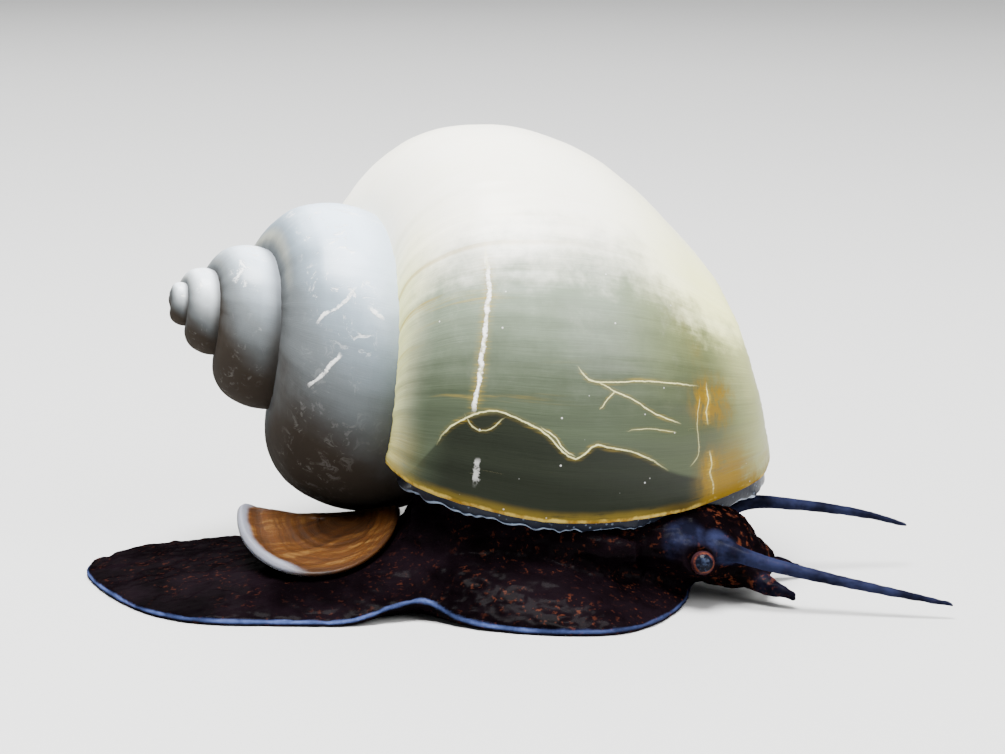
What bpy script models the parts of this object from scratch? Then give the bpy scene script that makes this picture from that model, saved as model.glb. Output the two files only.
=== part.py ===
"""A crawling apple snail, life size.

Metres, +Z up, +X towards the head, the floor at Z = 0. The shell is a right-handed spiral of which
every whorl is a larger copy of the one before, and the flesh is built from smooth forms that
meet one another, and the shell, face to face.
"""
import math

import bmesh
import bpy
from mathutils import Matrix, Vector

MM = 0.001
GAP = 0.3 * MM
WELD = 0.004 * MM
TURN = 2 * math.pi

# Shell: the spiral
SHELL_POLE = Vector((-25.4, 5.0, 20.5)) * MM      # where the whorls would shrink to nothing
SHELL_SLOPE = math.radians(14.2)                  # the axis falls towards the head
SHELL_YAW = math.radians(12.5)                    # the apex leans to the snail's right
WHORL_GROWTH = 1.891                              # each whorl against the one before
MOUTH_SCALE = 24.2 * MM                           # size of the spiral at the mouth angle
MOUTH_ANGLE = math.radians(21.2)
APEX_TURNS = 4.05                                 # growth angle of the spire's end, in turns
APEX_HEIGHT = 0.48                                # where the apex lies along the axis

# Shell: the outline of a whorl, for a spiral size of 1, in polar form from suture to base
OUTLINE_CENTRE = (1.269, 0.350)                   # along the axis, away from it
OUTLINE_START = math.radians(172)
OUTLINE_END = math.radians(-20)
OUTLINE_RADII = (0.559, 0.602, 0.561, 0.534, 0.557, 0.667, 0.743)

# Shell: walls, mouth and the places where whorls are parted
WALL = 0.65 * MM
MOUTH_DEPTH = math.radians(15)
BODY_START = math.radians(62) - TURN
PENULTIMATE_START = BODY_START - TURN
WHORL_PARTING = math.radians(2.2)                 # gap left between one whorl and the next
CORE = 0.07                                       # radius of the hollow pillar, for a size of 1
COLUMELLA = 0.14
COLLAR_COLUMELLA = 0.19
SUNK = 0.5 * MM                                   # how far a cutter runs into the whorl before
PILLAR_MARGINS = (0.01, 0.04)                     # clear of the whorl before, and of the base
INNER_LIP_RADIUS = 1.1 * MM
INNER_LIP = ((0.115, 16, 1.10), (0.100, 13, 1.35),
             (0.100, 10, 1.62), (0.120, 7, 1.90))  # off the axis, degrees, along the axis
LIP_ANGLES = ((0.0, 42.5), (0.06, 30.0), (0.12, 25.0), (0.22, 19.8), (0.36, 16.7), (0.5, 13.8),
              (0.67, 10.5), (0.78, 6.0), (0.85, 2.0), (0.92, 3.0), (1.0, 10.0))
PARIETAL_ANGLES = ((0.0, 42.5), (0.5, 26.0), (1.0, 12.0))
MANTLE_REACH = 0.9 * MM

# Foot: points round the rim, each with how far the rim lifts off the floor
FOOT_CENTRE = (-8.0, -0.6)
FOOT_RIM = ((-30.4, 2.6, 0.0), (-28.6, -2.6, 0.0), (-25.2, -8.2, 0.0), (-21.0, -11.2, 0.0),
            (-15.0, -11.8, 0.0), (-10.6, -11.9, 0.1), (-7.4, -10.8, 0.9), (-5.3, -10.5, 1.15),
            (-3.0, -12.0, 0.3), (0.6, -13.6, 0.0), (5.0, -14.4, 0.0), (8.6, -13.6, 0.0),
            (11.4, -10.0, 0.0), (13.2, -4.6, 0.0), (13.4, 1.2, 0.0), (12.0, 6.4, 0.0),
            (8.4, 9.8, 0.0), (2.4, 11.2, 0.2), (-3.6, 10.9, 0.9), (-9.6, 12.2, 0.1),
            (-16.0, 12.9, 0.0), (-22.4, 12.2, 0.0), (-27.2, 9.4, 0.0), (-29.8, 6.2, 0.0))
FOOT_CREST = ((-31.0, 1.4), (-25.0, 1.9), (-18.0, 2.3), (-12.0, 2.6), (-7.0, 3.9), (-2.0, 4.9),
              (6.0, 4.8), (11.0, 3.4), (14.0, 1.7))
FOOT_EDGE = 0.6 * MM
FOOT_LIFT_START = 0.7                             # share of the way out where the rim lifts
FOOT_CUTS = (-7.6, 3.4)

# Soft forms: sections as x, y, z, half width and half height in mm
CAP_ROUNDNESS = 0.45
PAD_SECTIONS = ((-13.2, 0.0, 3.0, 4.3, 4.7), (-13.2, 0.6, 5.2, 3.6, 3.8))
NECK_SECTIONS = ((1.9, -0.9, 1.6, 10.4, 7.4), (1.9, -0.9, 3.0, 10.2, 7.2),
                 (2.2, -0.6, 5.0, 9.8, 6.6), (2.5, 0.0, 7.0, 9.4, 6.2),
                 (2.9, 0.8, 9.0, 9.2, 6.0), (3.2, 1.6, 11.5, 9.0, 5.8))
LOBE_SECTIONS = ((2.0, -6.6, 5.0, 0.7, 0.8), (4.4, -7.5, 4.9, 0.8, 1.1),
                 (7.0, -7.9, 4.5, 0.75, 1.2), (9.2, -7.7, 4.3, 0.5, 0.8))
SIPHON_SECTIONS = ((5.0, 5.4, 5.4, 1.7, 1.3), (8.4, 7.6, 5.1, 1.7, 1.3),
                   (11.8, 9.2, 4.9, 1.6, 1.3), (14.2, 10.0, 5.1, 1.75, 1.5))
SIPHON_BORE = ((12.6, 9.5, 5.0, 0.8, 0.7), (13.6, 9.8, 5.05, 1.0, 0.85),
               (17.0, 10.8, 5.3, 1.5, 1.3))

# Head: places are forward of the origin on its line of symmetry, left of that line, and up
HEAD_ORIGIN = (13.0, -1.8)
HEAD_YAW = math.radians(-6)
HEAD_SECTIONS = ((-6.0, 0.3, 4.6, 5.4, 3.0), (-3.0, 0.2, 4.5, 5.6, 3.1), (0.0, 0.0, 4.1, 5.4, 2.9),
                 (2.2, 0.0, 3.7, 4.8, 2.6), (3.6, 0.0, 3.3, 3.9, 2.1), (4.4, 0.0, 3.0, 2.8, 1.5))
SNOUT_SECTIONS = ((2.0, 0.0, 2.6, 3.6, 1.9), (4.0, 0.0, 2.4, 3.5, 1.85),
                  (5.2, 0.0, 2.15, 3.1, 1.55), (5.9, 0.0, 1.95, 2.2, 1.1))
GROOVE = (6.5, 0.9, 2.6)                          # the mouth line: forward, lowest, highest
GROOVE_RADIUS = 0.45 * MM
EYE_RADIUS = 0.85 * MM
EYE_PLACE = (1.6, 5.7, 3.5)
STALK_ROOT = (-0.4, 4.0, 4.4)
STALK_RADII = ((0.0, 1.5), (0.5, 1.35), (0.95, 1.05))  # share of the way to the eye, mm
PALP_PATH = ((4.6, 2.4, 1.7, 0.8), (5.9, 3.1, 1.4, 0.7), (7.1, 3.8, 1.1, 0.5),
             (8.1, 4.4, 0.85, 0.28))              # forward, out, up, radius

# Tentacles: x, y, z and radius in mm along each
TENTACLE_SPLITS = (0.34, 0.67)
RIGHT_TENTACLE = ((13.9, -5.3, 4.5, 0.90), (15.5, -6.35, 4.2, 0.70), (18.2, -7.3, 3.45, 0.55),
                  (21.4, -8.0, 2.8, 0.47), (24.6, -8.6, 2.2, 0.40), (28.0, -9.2, 1.6, 0.32),
                  (31.4, -9.7, 1.0, 0.20))
LEFT_TENTACLE = ((14.4, 1.6, 4.2, 0.90), (15.9, 2.6, 4.8, 0.70), (18.2, 3.4, 5.3, 0.55),
                 (21.2, 4.0, 5.0, 0.46), (24.4, 4.5, 4.5, 0.39), (27.2, 4.9, 3.9, 0.31),
                 (29.8, 5.2, 3.1, 0.20))

# Operculum
LID_CENTRE = Vector((-13.3, 1.7, 3.95)) * MM      # on its widest line
LID_TILT = math.radians(17)
LID_NEAR_LENGTH = 9.0 * MM                        # from the widest line to the tip of the egg
LID_FAR_LENGTH = 3.3 * MM
LID_HALF_WIDTH = 5.9 * MM
LID_DISH = 0.9 * MM
LID_BEND = 3.2 * MM                               # how far the hidden end bends down
LID_THICKNESS = 0.6 * MM
LID_CLEARANCE = 6.0 * MM                          # height kept free over the operculum

FINISHES = {
    "shell": ((0.62, 0.60, 0.48, 1), 0.35),
    "spire": ((0.42, 0.48, 0.52, 1), 0.4),
    "mantle": ((0.20, 0.28, 0.40, 1), 0.3),
    "foot": ((0.035, 0.022, 0.03, 1), 0.4),
    "head": ((0.05, 0.03, 0.035, 1), 0.35),
    "feeler": ((0.07, 0.08, 0.16, 1), 0.35),
    "eye": ((0.25, 0.08, 0.03, 1), 0.1),
    "operculum": ((0.32, 0.13, 0.04, 1), 0.35),
}

snail = bpy.data.collections.new("apple_snail")
cutters = bpy.data.collections.new("cutters")


def smooth_curve(knots, x):
    """Read a smooth curve through knots (x, y), with straight ends, at x."""
    if x <= knots[0][0]:
        return knots[0][1]
    if x >= knots[-1][0]:
        return knots[-1][1]
    index = max(i for i in range(len(knots) - 1) if knots[i][0] <= x)

    def slope(i):
        before, after = max(i - 1, 0), min(i + 1, len(knots) - 1)
        return (knots[after][1] - knots[before][1]) / (knots[after][0] - knots[before][0])

    (x0, y0), (x1, y1) = knots[index], knots[index + 1]
    width = x1 - x0
    t = (x - x0) / width
    return ((2 * t ** 3 - 3 * t ** 2 + 1) * y0 + (t ** 3 - 2 * t ** 2 + t) * width * slope(index)
            + (3 * t ** 2 - 2 * t ** 3) * y1 + (t ** 3 - t ** 2) * width * slope(index + 1))


def solve(function, low, high):
    """Find where a function that starts negative and ends positive crosses zero."""
    for _ in range(40):
        middle = (low + high) / 2
        if function(middle) < 0:
            low = middle
        else:
            high = middle
    return (low + high) / 2


def finish_object(obj, finish, collection=snail):
    """Give an object its material and its collection."""
    material = bpy.data.materials.get(finish)
    if material is None:
        colour, roughness = FINISHES[finish]
        material = bpy.data.materials.new(finish)
        material.use_nodes = True
        shader = material.node_tree.nodes["Principled BSDF"]
        shader.inputs["Base Color"].default_value = colour
        shader.inputs["Roughness"].default_value = roughness
        shader.inputs["Metallic"].default_value = 0.0
    obj.data.materials.clear()
    obj.data.materials.append(material)
    obj.data.shade_smooth()
    for owner in list(obj.users_collection):
        owner.objects.unlink(obj)
    collection.objects.link(obj)
    return obj


def object_from_faces(name, points, faces, finish="foot"):
    """Make a mesh object whose faces all point outwards."""
    mesh = bpy.data.meshes.new(name)
    mesh.from_pydata([tuple(p) for p in points], [], faces)
    outward_triangles(mesh)
    return finish_object(bpy.data.objects.new(name, mesh), finish)


def evaluated_mesh(obj):
    """Return the mesh of an object with its modifiers applied."""
    bpy.context.view_layer.update()
    depsgraph = bpy.context.evaluated_depsgraph_get()
    return bpy.data.meshes.new_from_object(obj.evaluated_get(depsgraph))


def outward_triangles(mesh):
    """Split a closed mesh into triangles that all point outwards."""
    work = bmesh.new()
    work.from_mesh(mesh)
    bmesh.ops.recalc_face_normals(work, faces=work.faces)
    bmesh.ops.triangulate(work, faces=work.faces)
    work.to_mesh(mesh)
    work.free()


def keep_largest(mesh):
    """Keep only the closed surface with the largest volume."""
    work = bmesh.new()
    work.from_mesh(mesh)
    bmesh.ops.remove_doubles(work, verts=work.verts, dist=WELD)
    bmesh.ops.dissolve_degenerate(work, edges=work.edges, dist=WELD)
    bmesh.ops.triangulate(work, faces=work.faces)
    waiting = set(work.faces)
    shells = []
    while waiting:
        stack = [waiting.pop()]
        shell = list(stack)
        while stack:
            for edge in stack.pop().edges:
                for face in edge.link_faces:
                    if face in waiting:
                        waiting.remove(face)
                        stack.append(face)
                        shell.append(face)
        shells.append(shell)

    def volume(shell):
        total = 0.0
        for face in shell:
            first = face.verts[0].co
            for a, b in zip(face.verts[1:], face.verts[2:]):
                total += first.dot(a.co.cross(b.co)) / 6
        return total

    largest = max(shells, key=volume)
    bmesh.ops.delete(work, geom=[f for s in shells if s is not largest for f in s],
                     context="FACES")
    work.to_mesh(mesh)
    work.free()
    return mesh


def swollen(obj, distance=GAP):
    """Move every point of a closed object out along its normal, to cut its neighbours clear."""
    work = bmesh.new()
    work.from_mesh(obj.data)
    work.normal_update()
    for vert in work.verts:
        vert.co += vert.normal * (distance * vert.calc_shell_factor())
    work.to_mesh(obj.data)
    work.free()
    return obj


def combine(obj, others, operation="DIFFERENCE", solver="EXACT"):
    """Cut other objects out of one, or join them to it, and remove them."""
    group = bpy.data.collections.new("operands")
    cutters.children.link(group)
    for other in others:
        outward_triangles(other.data)
        finish_object(other, obj.data.materials[0].name, group)
        other.hide_render = True
        other.display_type = "WIRE"
    boolean = obj.modifiers.new("combine", "BOOLEAN")
    boolean.operation = operation
    boolean.solver = solver
    boolean.operand_type = "COLLECTION"
    boolean.collection = group
    mesh = keep_largest(evaluated_mesh(obj))
    obj.modifiers.clear()
    obj.data = mesh
    mesh.name = obj.name
    for other in list(group.objects):
        bpy.data.objects.remove(other)
    bpy.data.collections.remove(group)
    finish_object(obj, obj.data.materials[0].name)
    return obj


# Shell


def outline_radius(u):
    """Distance of the whorl's outline from its centre, u from 0 at the suture to 1 at the base."""
    last = len(OUTLINE_RADII) - 1
    return smooth_curve([(i / last, radius) for i, radius in enumerate(OUTLINE_RADII)], u)


def outline_point(u, offset=0.0):
    """Point (along the axis, away from it) of the outline, moved out by offset."""
    def place(at):
        angle = OUTLINE_START + (OUTLINE_END - OUTLINE_START) * at
        radius = outline_radius(at)
        return Vector((OUTLINE_CENTRE[0] + radius * math.cos(angle),
                       OUTLINE_CENTRE[1] + radius * math.sin(angle)))
    step = 0.01
    along = place(min(u + step, 1)) - place(max(u - step, 0))
    return place(u) + Vector((-along.y, along.x)).normalized() * offset


def clear_of_last_whorl(point):
    """How far a point, for a spiral size of 1, stands off the whorl before, and where on it."""
    across = point * WHORL_GROWTH - Vector(OUTLINE_CENTRE)
    u = (math.atan2(across.y, across.x) - OUTLINE_START) / (OUTLINE_END - OUTLINE_START)
    return (across.length - outline_radius(u)) / WHORL_GROWTH, u


def spiral_size(angle):
    """Size of the spiral at a growth angle."""
    return MOUTH_SCALE * WHORL_GROWTH ** ((angle - MOUTH_ANGLE) / TURN)


def shell_axes():
    """The shell's axis from apex to base, and two directions across it."""
    axis = Vector((math.cos(SHELL_SLOPE) * math.cos(SHELL_YAW),
                   math.cos(SHELL_SLOPE) * math.sin(SHELL_YAW), -math.sin(SHELL_SLOPE)))
    near = Vector((0, -1, 0))
    near = (near - axis * near.dot(axis)).normalized()
    return axis, near, axis.cross(near)


SHELL_AXIS, SHELL_NEAR, SHELL_DOWN = shell_axes()


def shell_place(angle, point, size=None):
    """Turn a point of the outline at a growth angle into a place in space."""
    size = spiral_size(angle) if size is None else size
    across = SHELL_NEAR * math.cos(angle) + SHELL_DOWN * math.sin(angle)
    return SHELL_POLE + SHELL_AXIS * (size * point[0]) + across * (size * point[1])


def whorl_section(size, count, inset=0.0, sunk=-GAP, core=CORE):
    """Outer and inner edges of a whorl's section, which meet at the suture and at the base.

    inset draws the outer edge in, sunk draws the inner edge into the whorl before, and core is
    the radius at which the section stops short of the axis.
    """
    inset, sunk = inset / size, sunk / size
    start = solve(lambda u: clear_of_last_whorl(outline_point(u, -inset))[0] + sunk, 0.0, 0.3)
    below = clear_of_last_whorl(outline_point(start, -inset))[1]
    outer = [outline_point(start + (1 - start) * i / (count - 1), -inset) for i in range(count)]
    radius = core * WHORL_GROWTH
    stop = 1.0
    if outline_point(1.0).y < radius:
        stop = solve(lambda u: radius - outline_point(u).y, 0.6, 1.0)
    on_whorl = round(count * 0.6)
    inner = [outline_point(below + (stop - below) * i / on_whorl, -sunk * WHORL_GROWTH)
             / WHORL_GROWTH for i in range(1, on_whorl + 1)]
    first = inner[-1].x + PILLAR_MARGINS[0]
    last = outer[-1].x - PILLAR_MARGINS[1]
    rest = count - on_whorl
    inner += [Vector((first + (last - first) * i / (rest - 1), core)) for i in range(rest)]
    return outer, inner


def skin_of_sections(name, sections, finish):
    """Closed skin over sections of paired outer and inner points, in strips from edge to edge."""
    count = len(sections[0][0])
    points = [p for outer, inner in sections for p in outer + inner[::-1]]
    ring = 2 * count
    faces = []
    for k in range(len(sections) - 1):
        for i in range(ring):
            a, b = k * ring + i, k * ring + (i + 1) % ring
            faces.append((a, b, b + ring, a + ring))
    for base in (0, (len(sections) - 1) * ring):
        faces += [(base + i, base + i + 1, base + ring - 2 - i, base + ring - 1 - i)
                  for i in range(count - 1)]
    return object_from_faces(name, points, faces, finish)


def whorl(name, begin, end, steps, finish, count=18, **edges):
    """A whorl from one growth angle to another; each may be a function of outer and i / count."""
    sections = []
    for k in range(steps + 1):
        rows = []
        for outer in (True, False):
            row = []
            for i in range(count):
                low = begin(outer, i / (count - 1)) if callable(begin) else begin
                high = end(outer, i / (count - 1)) if callable(end) else end
                angle = low + (high - low) * k / steps
                section = whorl_section(spiral_size(angle), count, **edges)
                row.append(shell_place(angle, section[0 if outer else 1][i]))
            rows.append(row)
        sections.append(rows)
    return skin_of_sections(name, sections, finish)


def lip_angle(outer, share, reach=0.0, away=0.0):
    """Growth angle of the lip, moved ahead by reach in metres and turned by away in radians."""
    angle = math.radians(smooth_curve(LIP_ANGLES if outer else PARIETAL_ANGLES, share))
    distance = spiral_size(angle) * max(outline_point(share).y, 0.2)
    return angle + reach / distance + away


def spire(name, end, per_turn=30, band=9):
    """The early whorls as one closed skin, with a rounded apex and a flat end face."""
    begin = end - (APEX_TURNS - 2) * TURN
    steps = round((end - begin) / TURN * per_turn)
    first = solve(lambda u: clear_of_last_whorl(outline_point(u))[0], 0.0, 0.3)
    below = clear_of_last_whorl(outline_point(first))[1]
    points, rows = [], []
    for k in range(steps + 1):
        angle = begin + (end - begin) * k / steps
        row = []
        for i in range(band):
            u = first + (below - first) * i / band
            row.append(len(points))
            points.append(shell_place(angle, outline_point(u)))
        rows.append(row)
    for k in range(steps + 1):
        angle = begin + (end - begin) * k / steps
        if k + per_turn <= steps:
            rows[k].append(rows[k + per_turn][0])
        else:
            rows[k].append(len(points))
            points.append(shell_place(angle, outline_point(below)))
    base = 8
    for k in range(steps - per_turn, steps + 1):
        angle = begin + (end - begin) * k / steps
        for i in range(1, base + 1):
            rows[k].append(len(points))
            points.append(shell_place(angle, outline_point(below + (1 - below) * i / base)))
    faces = []
    for k in range(steps):
        shared = min(len(rows[k]), len(rows[k + 1]))
        faces += [(rows[k][i], rows[k + 1][i], rows[k + 1][i + 1], rows[k][i + 1])
                  for i in range(shared - 1)]
    apex = len(points)
    points.append(shell_place(begin, (APEX_HEIGHT, 0.0), spiral_size(begin + TURN / 2)))
    top = [rows[k][0] for k in range(per_turn + 1)]
    start_edge = rows[0][:band + 1][::-1]
    faces += [(a, b, apex) for a, b in zip(top, top[1:])]
    faces += [(a, b, apex) for a, b in zip(start_edge, start_edge[1:])]
    core = len(points)
    points.append(shell_place(end, (outline_point(1.0).x, 0.0), spiral_size(end - TURN / 2)))
    inner = [rows[k][-1] for k in range(steps - per_turn, steps + 1)]
    faces += [(a, b, core) for a, b in zip(inner, inner[1:])]
    faces.append(tuple(rows[steps] + [core] + rows[steps - per_turn][:band:-1]))
    return object_from_faces(name, points, faces, "spire")


def inner_lip(name):
    """The rounded rim of the mouth along the pillar, from the whorl before to the base."""
    path = []
    for radius, degrees, along in INNER_LIP:
        angle = math.radians(degrees)
        path.append((shell_place(angle, (along, radius), MOUTH_SCALE), INNER_LIP_RADIUS))
    return rod(name, path, "shell")


def shell_body(name):
    """The last whorl with its hollow mouth and its lip."""
    last = whorl(name, BODY_START + WHORL_PARTING, lip_angle, 34, "shell")
    mouth = whorl("mouth", lambda outer, share: lip_angle(outer, share, away=-MOUTH_DEPTH),
                  lambda outer, share: lip_angle(outer, share, away=math.radians(8)),
                  6, "shell", inset=WALL, sunk=SUNK, core=COLUMELLA)
    combine(last, [mouth])
    return combine(last, [inner_lip("inner_lip")], "UNION")


def shell_block(name):
    """The last two whorls as one block without a mouth, a little larger all round."""
    def front(outer, share):
        return lip_angle(outer, share, reach=GAP)

    return whorl(name, PENULTIMATE_START, front, 48, "shell", inset=-GAP, sunk=SUNK)


def mantle_collar(name):
    """The mantle's thick edge: it fills the mouth and shows as a band below the lip."""
    def back(outer, share):
        return lip_angle(outer, share, reach=GAP, away=-MOUTH_DEPTH + math.radians(0.5))

    def front(outer, share):
        return lip_angle(outer, share, reach=MANTLE_REACH)

    return whorl(name, back, front, 5, "mantle", count=16, inset=WALL + GAP,
                 core=COLLAR_COLUMELLA)


# Soft forms


def rod(name, path, finish, sides=2):
    """A round tapered length along (place, radius) points, with closed ends."""
    curve = bpy.data.curves.new(name, "CURVE")
    curve.dimensions = "3D"
    curve.bevel_depth = 1.0
    curve.bevel_resolution = sides
    curve.use_fill_caps = True
    spline = curve.splines.new("POLY")
    spline.points.add(len(path) - 1)
    for point, (place, radius) in zip(spline.points, path):
        point.co = (*place, 1)
        point.radius = radius
    guide = bpy.data.objects.new(name, curve)
    snail.objects.link(guide)
    mesh = evaluated_mesh(guide)
    bpy.data.objects.remove(guide)
    bpy.data.curves.remove(curve)
    work = bmesh.new()
    work.from_mesh(mesh)
    bmesh.ops.remove_doubles(work, verts=work.verts, dist=WELD)
    work.to_mesh(mesh)
    work.free()
    outward_triangles(mesh)
    return finish_object(bpy.data.objects.new(name, mesh), finish)


def swept_form(name, stations, finish, sides=20, grow=0.0, hint=(0, 0, 1)):
    """A closed form of oval sections at stations (x, y, z, half width, half height) in mm.

    The half height lies towards the hint, and the half width across it.
    """
    centres = [Vector(s[:3]) * MM for s in stations]
    tangents = [(centres[min(i + 1, len(centres) - 1)] - centres[max(i - 1, 0)]).normalized()
                for i in range(len(centres))]
    points, faces = [], []
    for centre, tangent, station in zip(centres, tangents, stations):
        across = tangent.cross(Vector(hint)).normalized()
        upward = across.cross(tangent)
        for i in range(sides):
            angle = TURN * i / sides
            points.append(centre + across * (math.cos(angle) * (station[3] * MM + grow))
                          + upward * (math.sin(angle) * (station[4] * MM + grow)))
    rings = len(stations)
    for k in range(rings - 1):
        for i in range(sides):
            j = (i + 1) % sides
            faces.append((k * sides + i, k * sides + j, (k + 1) * sides + j, (k + 1) * sides + i))
    for k, sign in ((0, -1), (rings - 1, 1)):
        cap = min(stations[k][3:]) * MM * CAP_ROUNDNESS + grow
        pole = len(points)
        points.append(centres[k] + tangents[k] * (sign * cap))
        faces += [(k * sides + i, k * sides + (i + 1) % sides, pole) for i in range(sides)]
    return object_from_faces(name, points, faces, finish)


def head_place(forward, left, up):
    """A place given along and across the head's line of symmetry, in mm."""
    cos, sin = math.cos(HEAD_YAW), math.sin(HEAD_YAW)
    return Vector((HEAD_ORIGIN[0] + forward * cos - left * sin,
                   HEAD_ORIGIN[1] + forward * sin + left * cos, up)) * MM


def closed_curve(knots, share):
    """A smooth closed curve through knots, share from 0 to 1 round it."""
    count = len(knots)
    at = share * count
    i = int(at) % count
    t = at - int(at)
    p = [Vector(knots[(i + k) % count]) for k in (-1, 0, 1, 2)]
    return 0.5 * (2 * p[1] + (p[2] - p[0]) * t + (2 * p[0] - 5 * p[1] + 4 * p[2] - p[3]) * t ** 2
                  + (3 * p[1] - p[0] - 3 * p[2] + p[3]) * t ** 3)


def foot_form(name, grow=0.0, spokes=64, rings=9):
    """The whole foot: a flat sole, a thin wavy rim and a back that rises to the neck."""
    centre = Vector((*FOOT_CENTRE, 0)) * MM
    top, bottom = [], []
    for k in range(1, rings + 1):
        share = (k / rings) ** 0.8
        for i in range(spokes):
            rim = closed_curve(FOOT_RIM, i / spokes) * MM
            lift, rim = rim.z, Vector((rim.x, rim.y, 0))
            outward = (rim - centre).normalized()
            spot = centre + (rim - centre) * share + outward * grow * share
            crest = smooth_curve(FOOT_CREST, spot.x / MM) * MM
            outer = max(0.0, (share - FOOT_LIFT_START) / (1 - FOOT_LIFT_START))
            raised = lift * outer ** 2
            rise = (1 - share ** 2.4) ** 0.9
            edge = FOOT_EDGE * (1 - 0.25 * share)
            top.append(Vector((spot.x, spot.y, raised + edge + (crest - edge) * rise + grow)))
            bottom.append(Vector((spot.x, spot.y, raised - grow)))
    crest = smooth_curve(FOOT_CREST, FOOT_CENTRE[0]) * MM
    points = ([Vector((centre.x, centre.y, crest + grow))] + top
              + [Vector((centre.x, centre.y, -grow))] + bottom)
    faces = []
    for base in (0, len(top) + 1):
        faces += [(base, base + 1 + i, base + 1 + (i + 1) % spokes) for i in range(spokes)]
        for k in range(rings - 1):
            for i in range(spokes):
                a = base + 1 + k * spokes + i
                b = base + 1 + k * spokes + (i + 1) % spokes
                faces.append((a, b, b + spokes, a + spokes))
    outer = 1 + (rings - 1) * spokes
    for i in range(spokes):
        a, b = outer + i, outer + (i + 1) % spokes
        faces.append((a, b, b + len(top) + 1, a + len(top) + 1))
    return object_from_faces(name, points, faces, "foot")


def box_between(name, low, high):
    """A box between two corners, in mm."""
    work = bmesh.new()
    bmesh.ops.create_cube(work, size=1.0)
    low, high = Vector(low) * MM, Vector(high) * MM
    scale = Matrix.Diagonal((*(high - low), 1))
    bmesh.ops.transform(work, matrix=Matrix.Translation((low + high) / 2) @ scale,
                        verts=work.verts)
    mesh = bpy.data.meshes.new(name)
    work.to_mesh(mesh)
    work.free()
    return finish_object(bpy.data.objects.new(name, mesh), "foot")


def lid_matrix():
    """Place and tilt of the operculum on the back of the foot."""
    return Matrix.Translation(LID_CENTRE) @ Matrix.Rotation(LID_TILT, 4, "X")


def operculum(name, grow=0.0, thickness=LID_THICKNESS, spokes=36, rings=5):
    """A thin dished plate with an egg-shaped outline."""
    faces, points = [], [Vector((0, 0, -grow))]
    for k in range(1, rings + 1):
        share = k / rings
        for i in range(spokes):
            angle = TURN * i / spokes
            side, along = math.cos(angle) * share, math.sin(angle) * share
            length = LID_FAR_LENGTH if along > 0 else LID_NEAR_LENGTH
            rise = LID_DISH * share ** 2 - LID_BEND * max(along, 0.0) ** 2
            points.append(Vector(((LID_HALF_WIDTH + grow) * side, (length + grow) * along,
                                  rise - grow)))
    faces += [(0, 1 + i, 1 + (i + 1) % spokes) for i in range(spokes)]
    for k in range(rings - 1):
        for i in range(spokes):
            a, b = 1 + k * spokes + i, 1 + k * spokes + (i + 1) % spokes
            faces.append((a, a + spokes, b + spokes, b))
    mesh = bpy.data.meshes.new(name)
    mesh.from_pydata([tuple(p) for p in points], [], faces)
    mesh.transform(lid_matrix())
    plate = finish_object(bpy.data.objects.new(name, mesh), "operculum")
    wall = plate.modifiers.new("thickness", "SOLIDIFY")
    wall.thickness = thickness + 2 * grow
    wall.offset = 1
    return plate


def applied(obj):
    """Replace an object's mesh by the mesh with its modifiers applied."""
    mesh = evaluated_mesh(obj)
    obj.modifiers.clear()
    obj.data = mesh
    return obj


def lid_pad(name):
    """The pad on the back of the foot that carries the operculum."""
    return swept_form(name, PAD_SECTIONS, "foot", 24, hint=(0, 1, 0))


def neck_form(name, grow=0.0):
    """The muscular stalk between the foot and the mouth of the shell."""
    return swept_form(name, NECK_SECTIONS, "foot", 28, grow, hint=(0, 1, 0))


def nuchal_lobe(name):
    """The low flap on the right of the neck, under the mantle."""
    return swept_form(name, LOBE_SECTIONS, "head", 14)


def siphon(name):
    """The short breathing tube on the left of the neck, with its open end."""
    tube = swept_form(name, SIPHON_SECTIONS, "head", 18)
    return combine(tube, [swept_form("bore", SIPHON_BORE, "head", 14)])


def head_form(name, grow=0.0):
    """The head from the neck to the root of the snout."""
    stations = [(*head_place(*s[:3]) / MM, *s[3:]) for s in HEAD_SECTIONS]
    return swept_form(name, stations, "head", 24, grow)


def snout_form(name, grow=0.0):
    """The short broad snout."""
    stations = [(*head_place(*s[:3]) / MM, *s[3:]) for s in SNOUT_SECTIONS]
    return swept_form(name, stations, "head", 20, grow)


def ball(name, centre, radius, finish):
    """A round body."""
    work = bmesh.new()
    bmesh.ops.create_uvsphere(work, u_segments=20, v_segments=12, radius=radius)
    bmesh.ops.translate(work, vec=centre, verts=work.verts)
    mesh = bpy.data.meshes.new(name)
    work.to_mesh(mesh)
    work.free()
    outward_triangles(mesh)
    return finish_object(bpy.data.objects.new(name, mesh), finish)


def feeler_path(knots, begin, end, steps):
    """Points along a tapered feeler between two shares of its length."""
    last = len(knots) - 1
    path = []
    for k in range(steps + 1):
        at = begin + (end - begin) * k / steps
        row = [smooth_curve([(i / last, knot[axis]) for i, knot in enumerate(knots)], at)
               for axis in range(4)]
        path.append((Vector(row[:3]) * MM, row[3] * MM))
    return path


def tentacle(side, knots):
    """One tentacle in three lengths, the first rooted in the head."""
    marks = (0.0, *TENTACLE_SPLITS, 1.0)
    length = sum((Vector(a[:3]) - Vector(b[:3])).length for a, b in zip(knots, knots[1:])) * MM
    for label, begin, end in zip(("base", "middle", "tip"), marks, marks[1:]):
        start = begin + (GAP / length if begin else 0)
        piece = rod(f"tentacle_{side}_{label}", feeler_path(knots, start, end, 8), "feeler")
        if not begin:
            combine(piece, [head_form("cut", GAP)])


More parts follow.
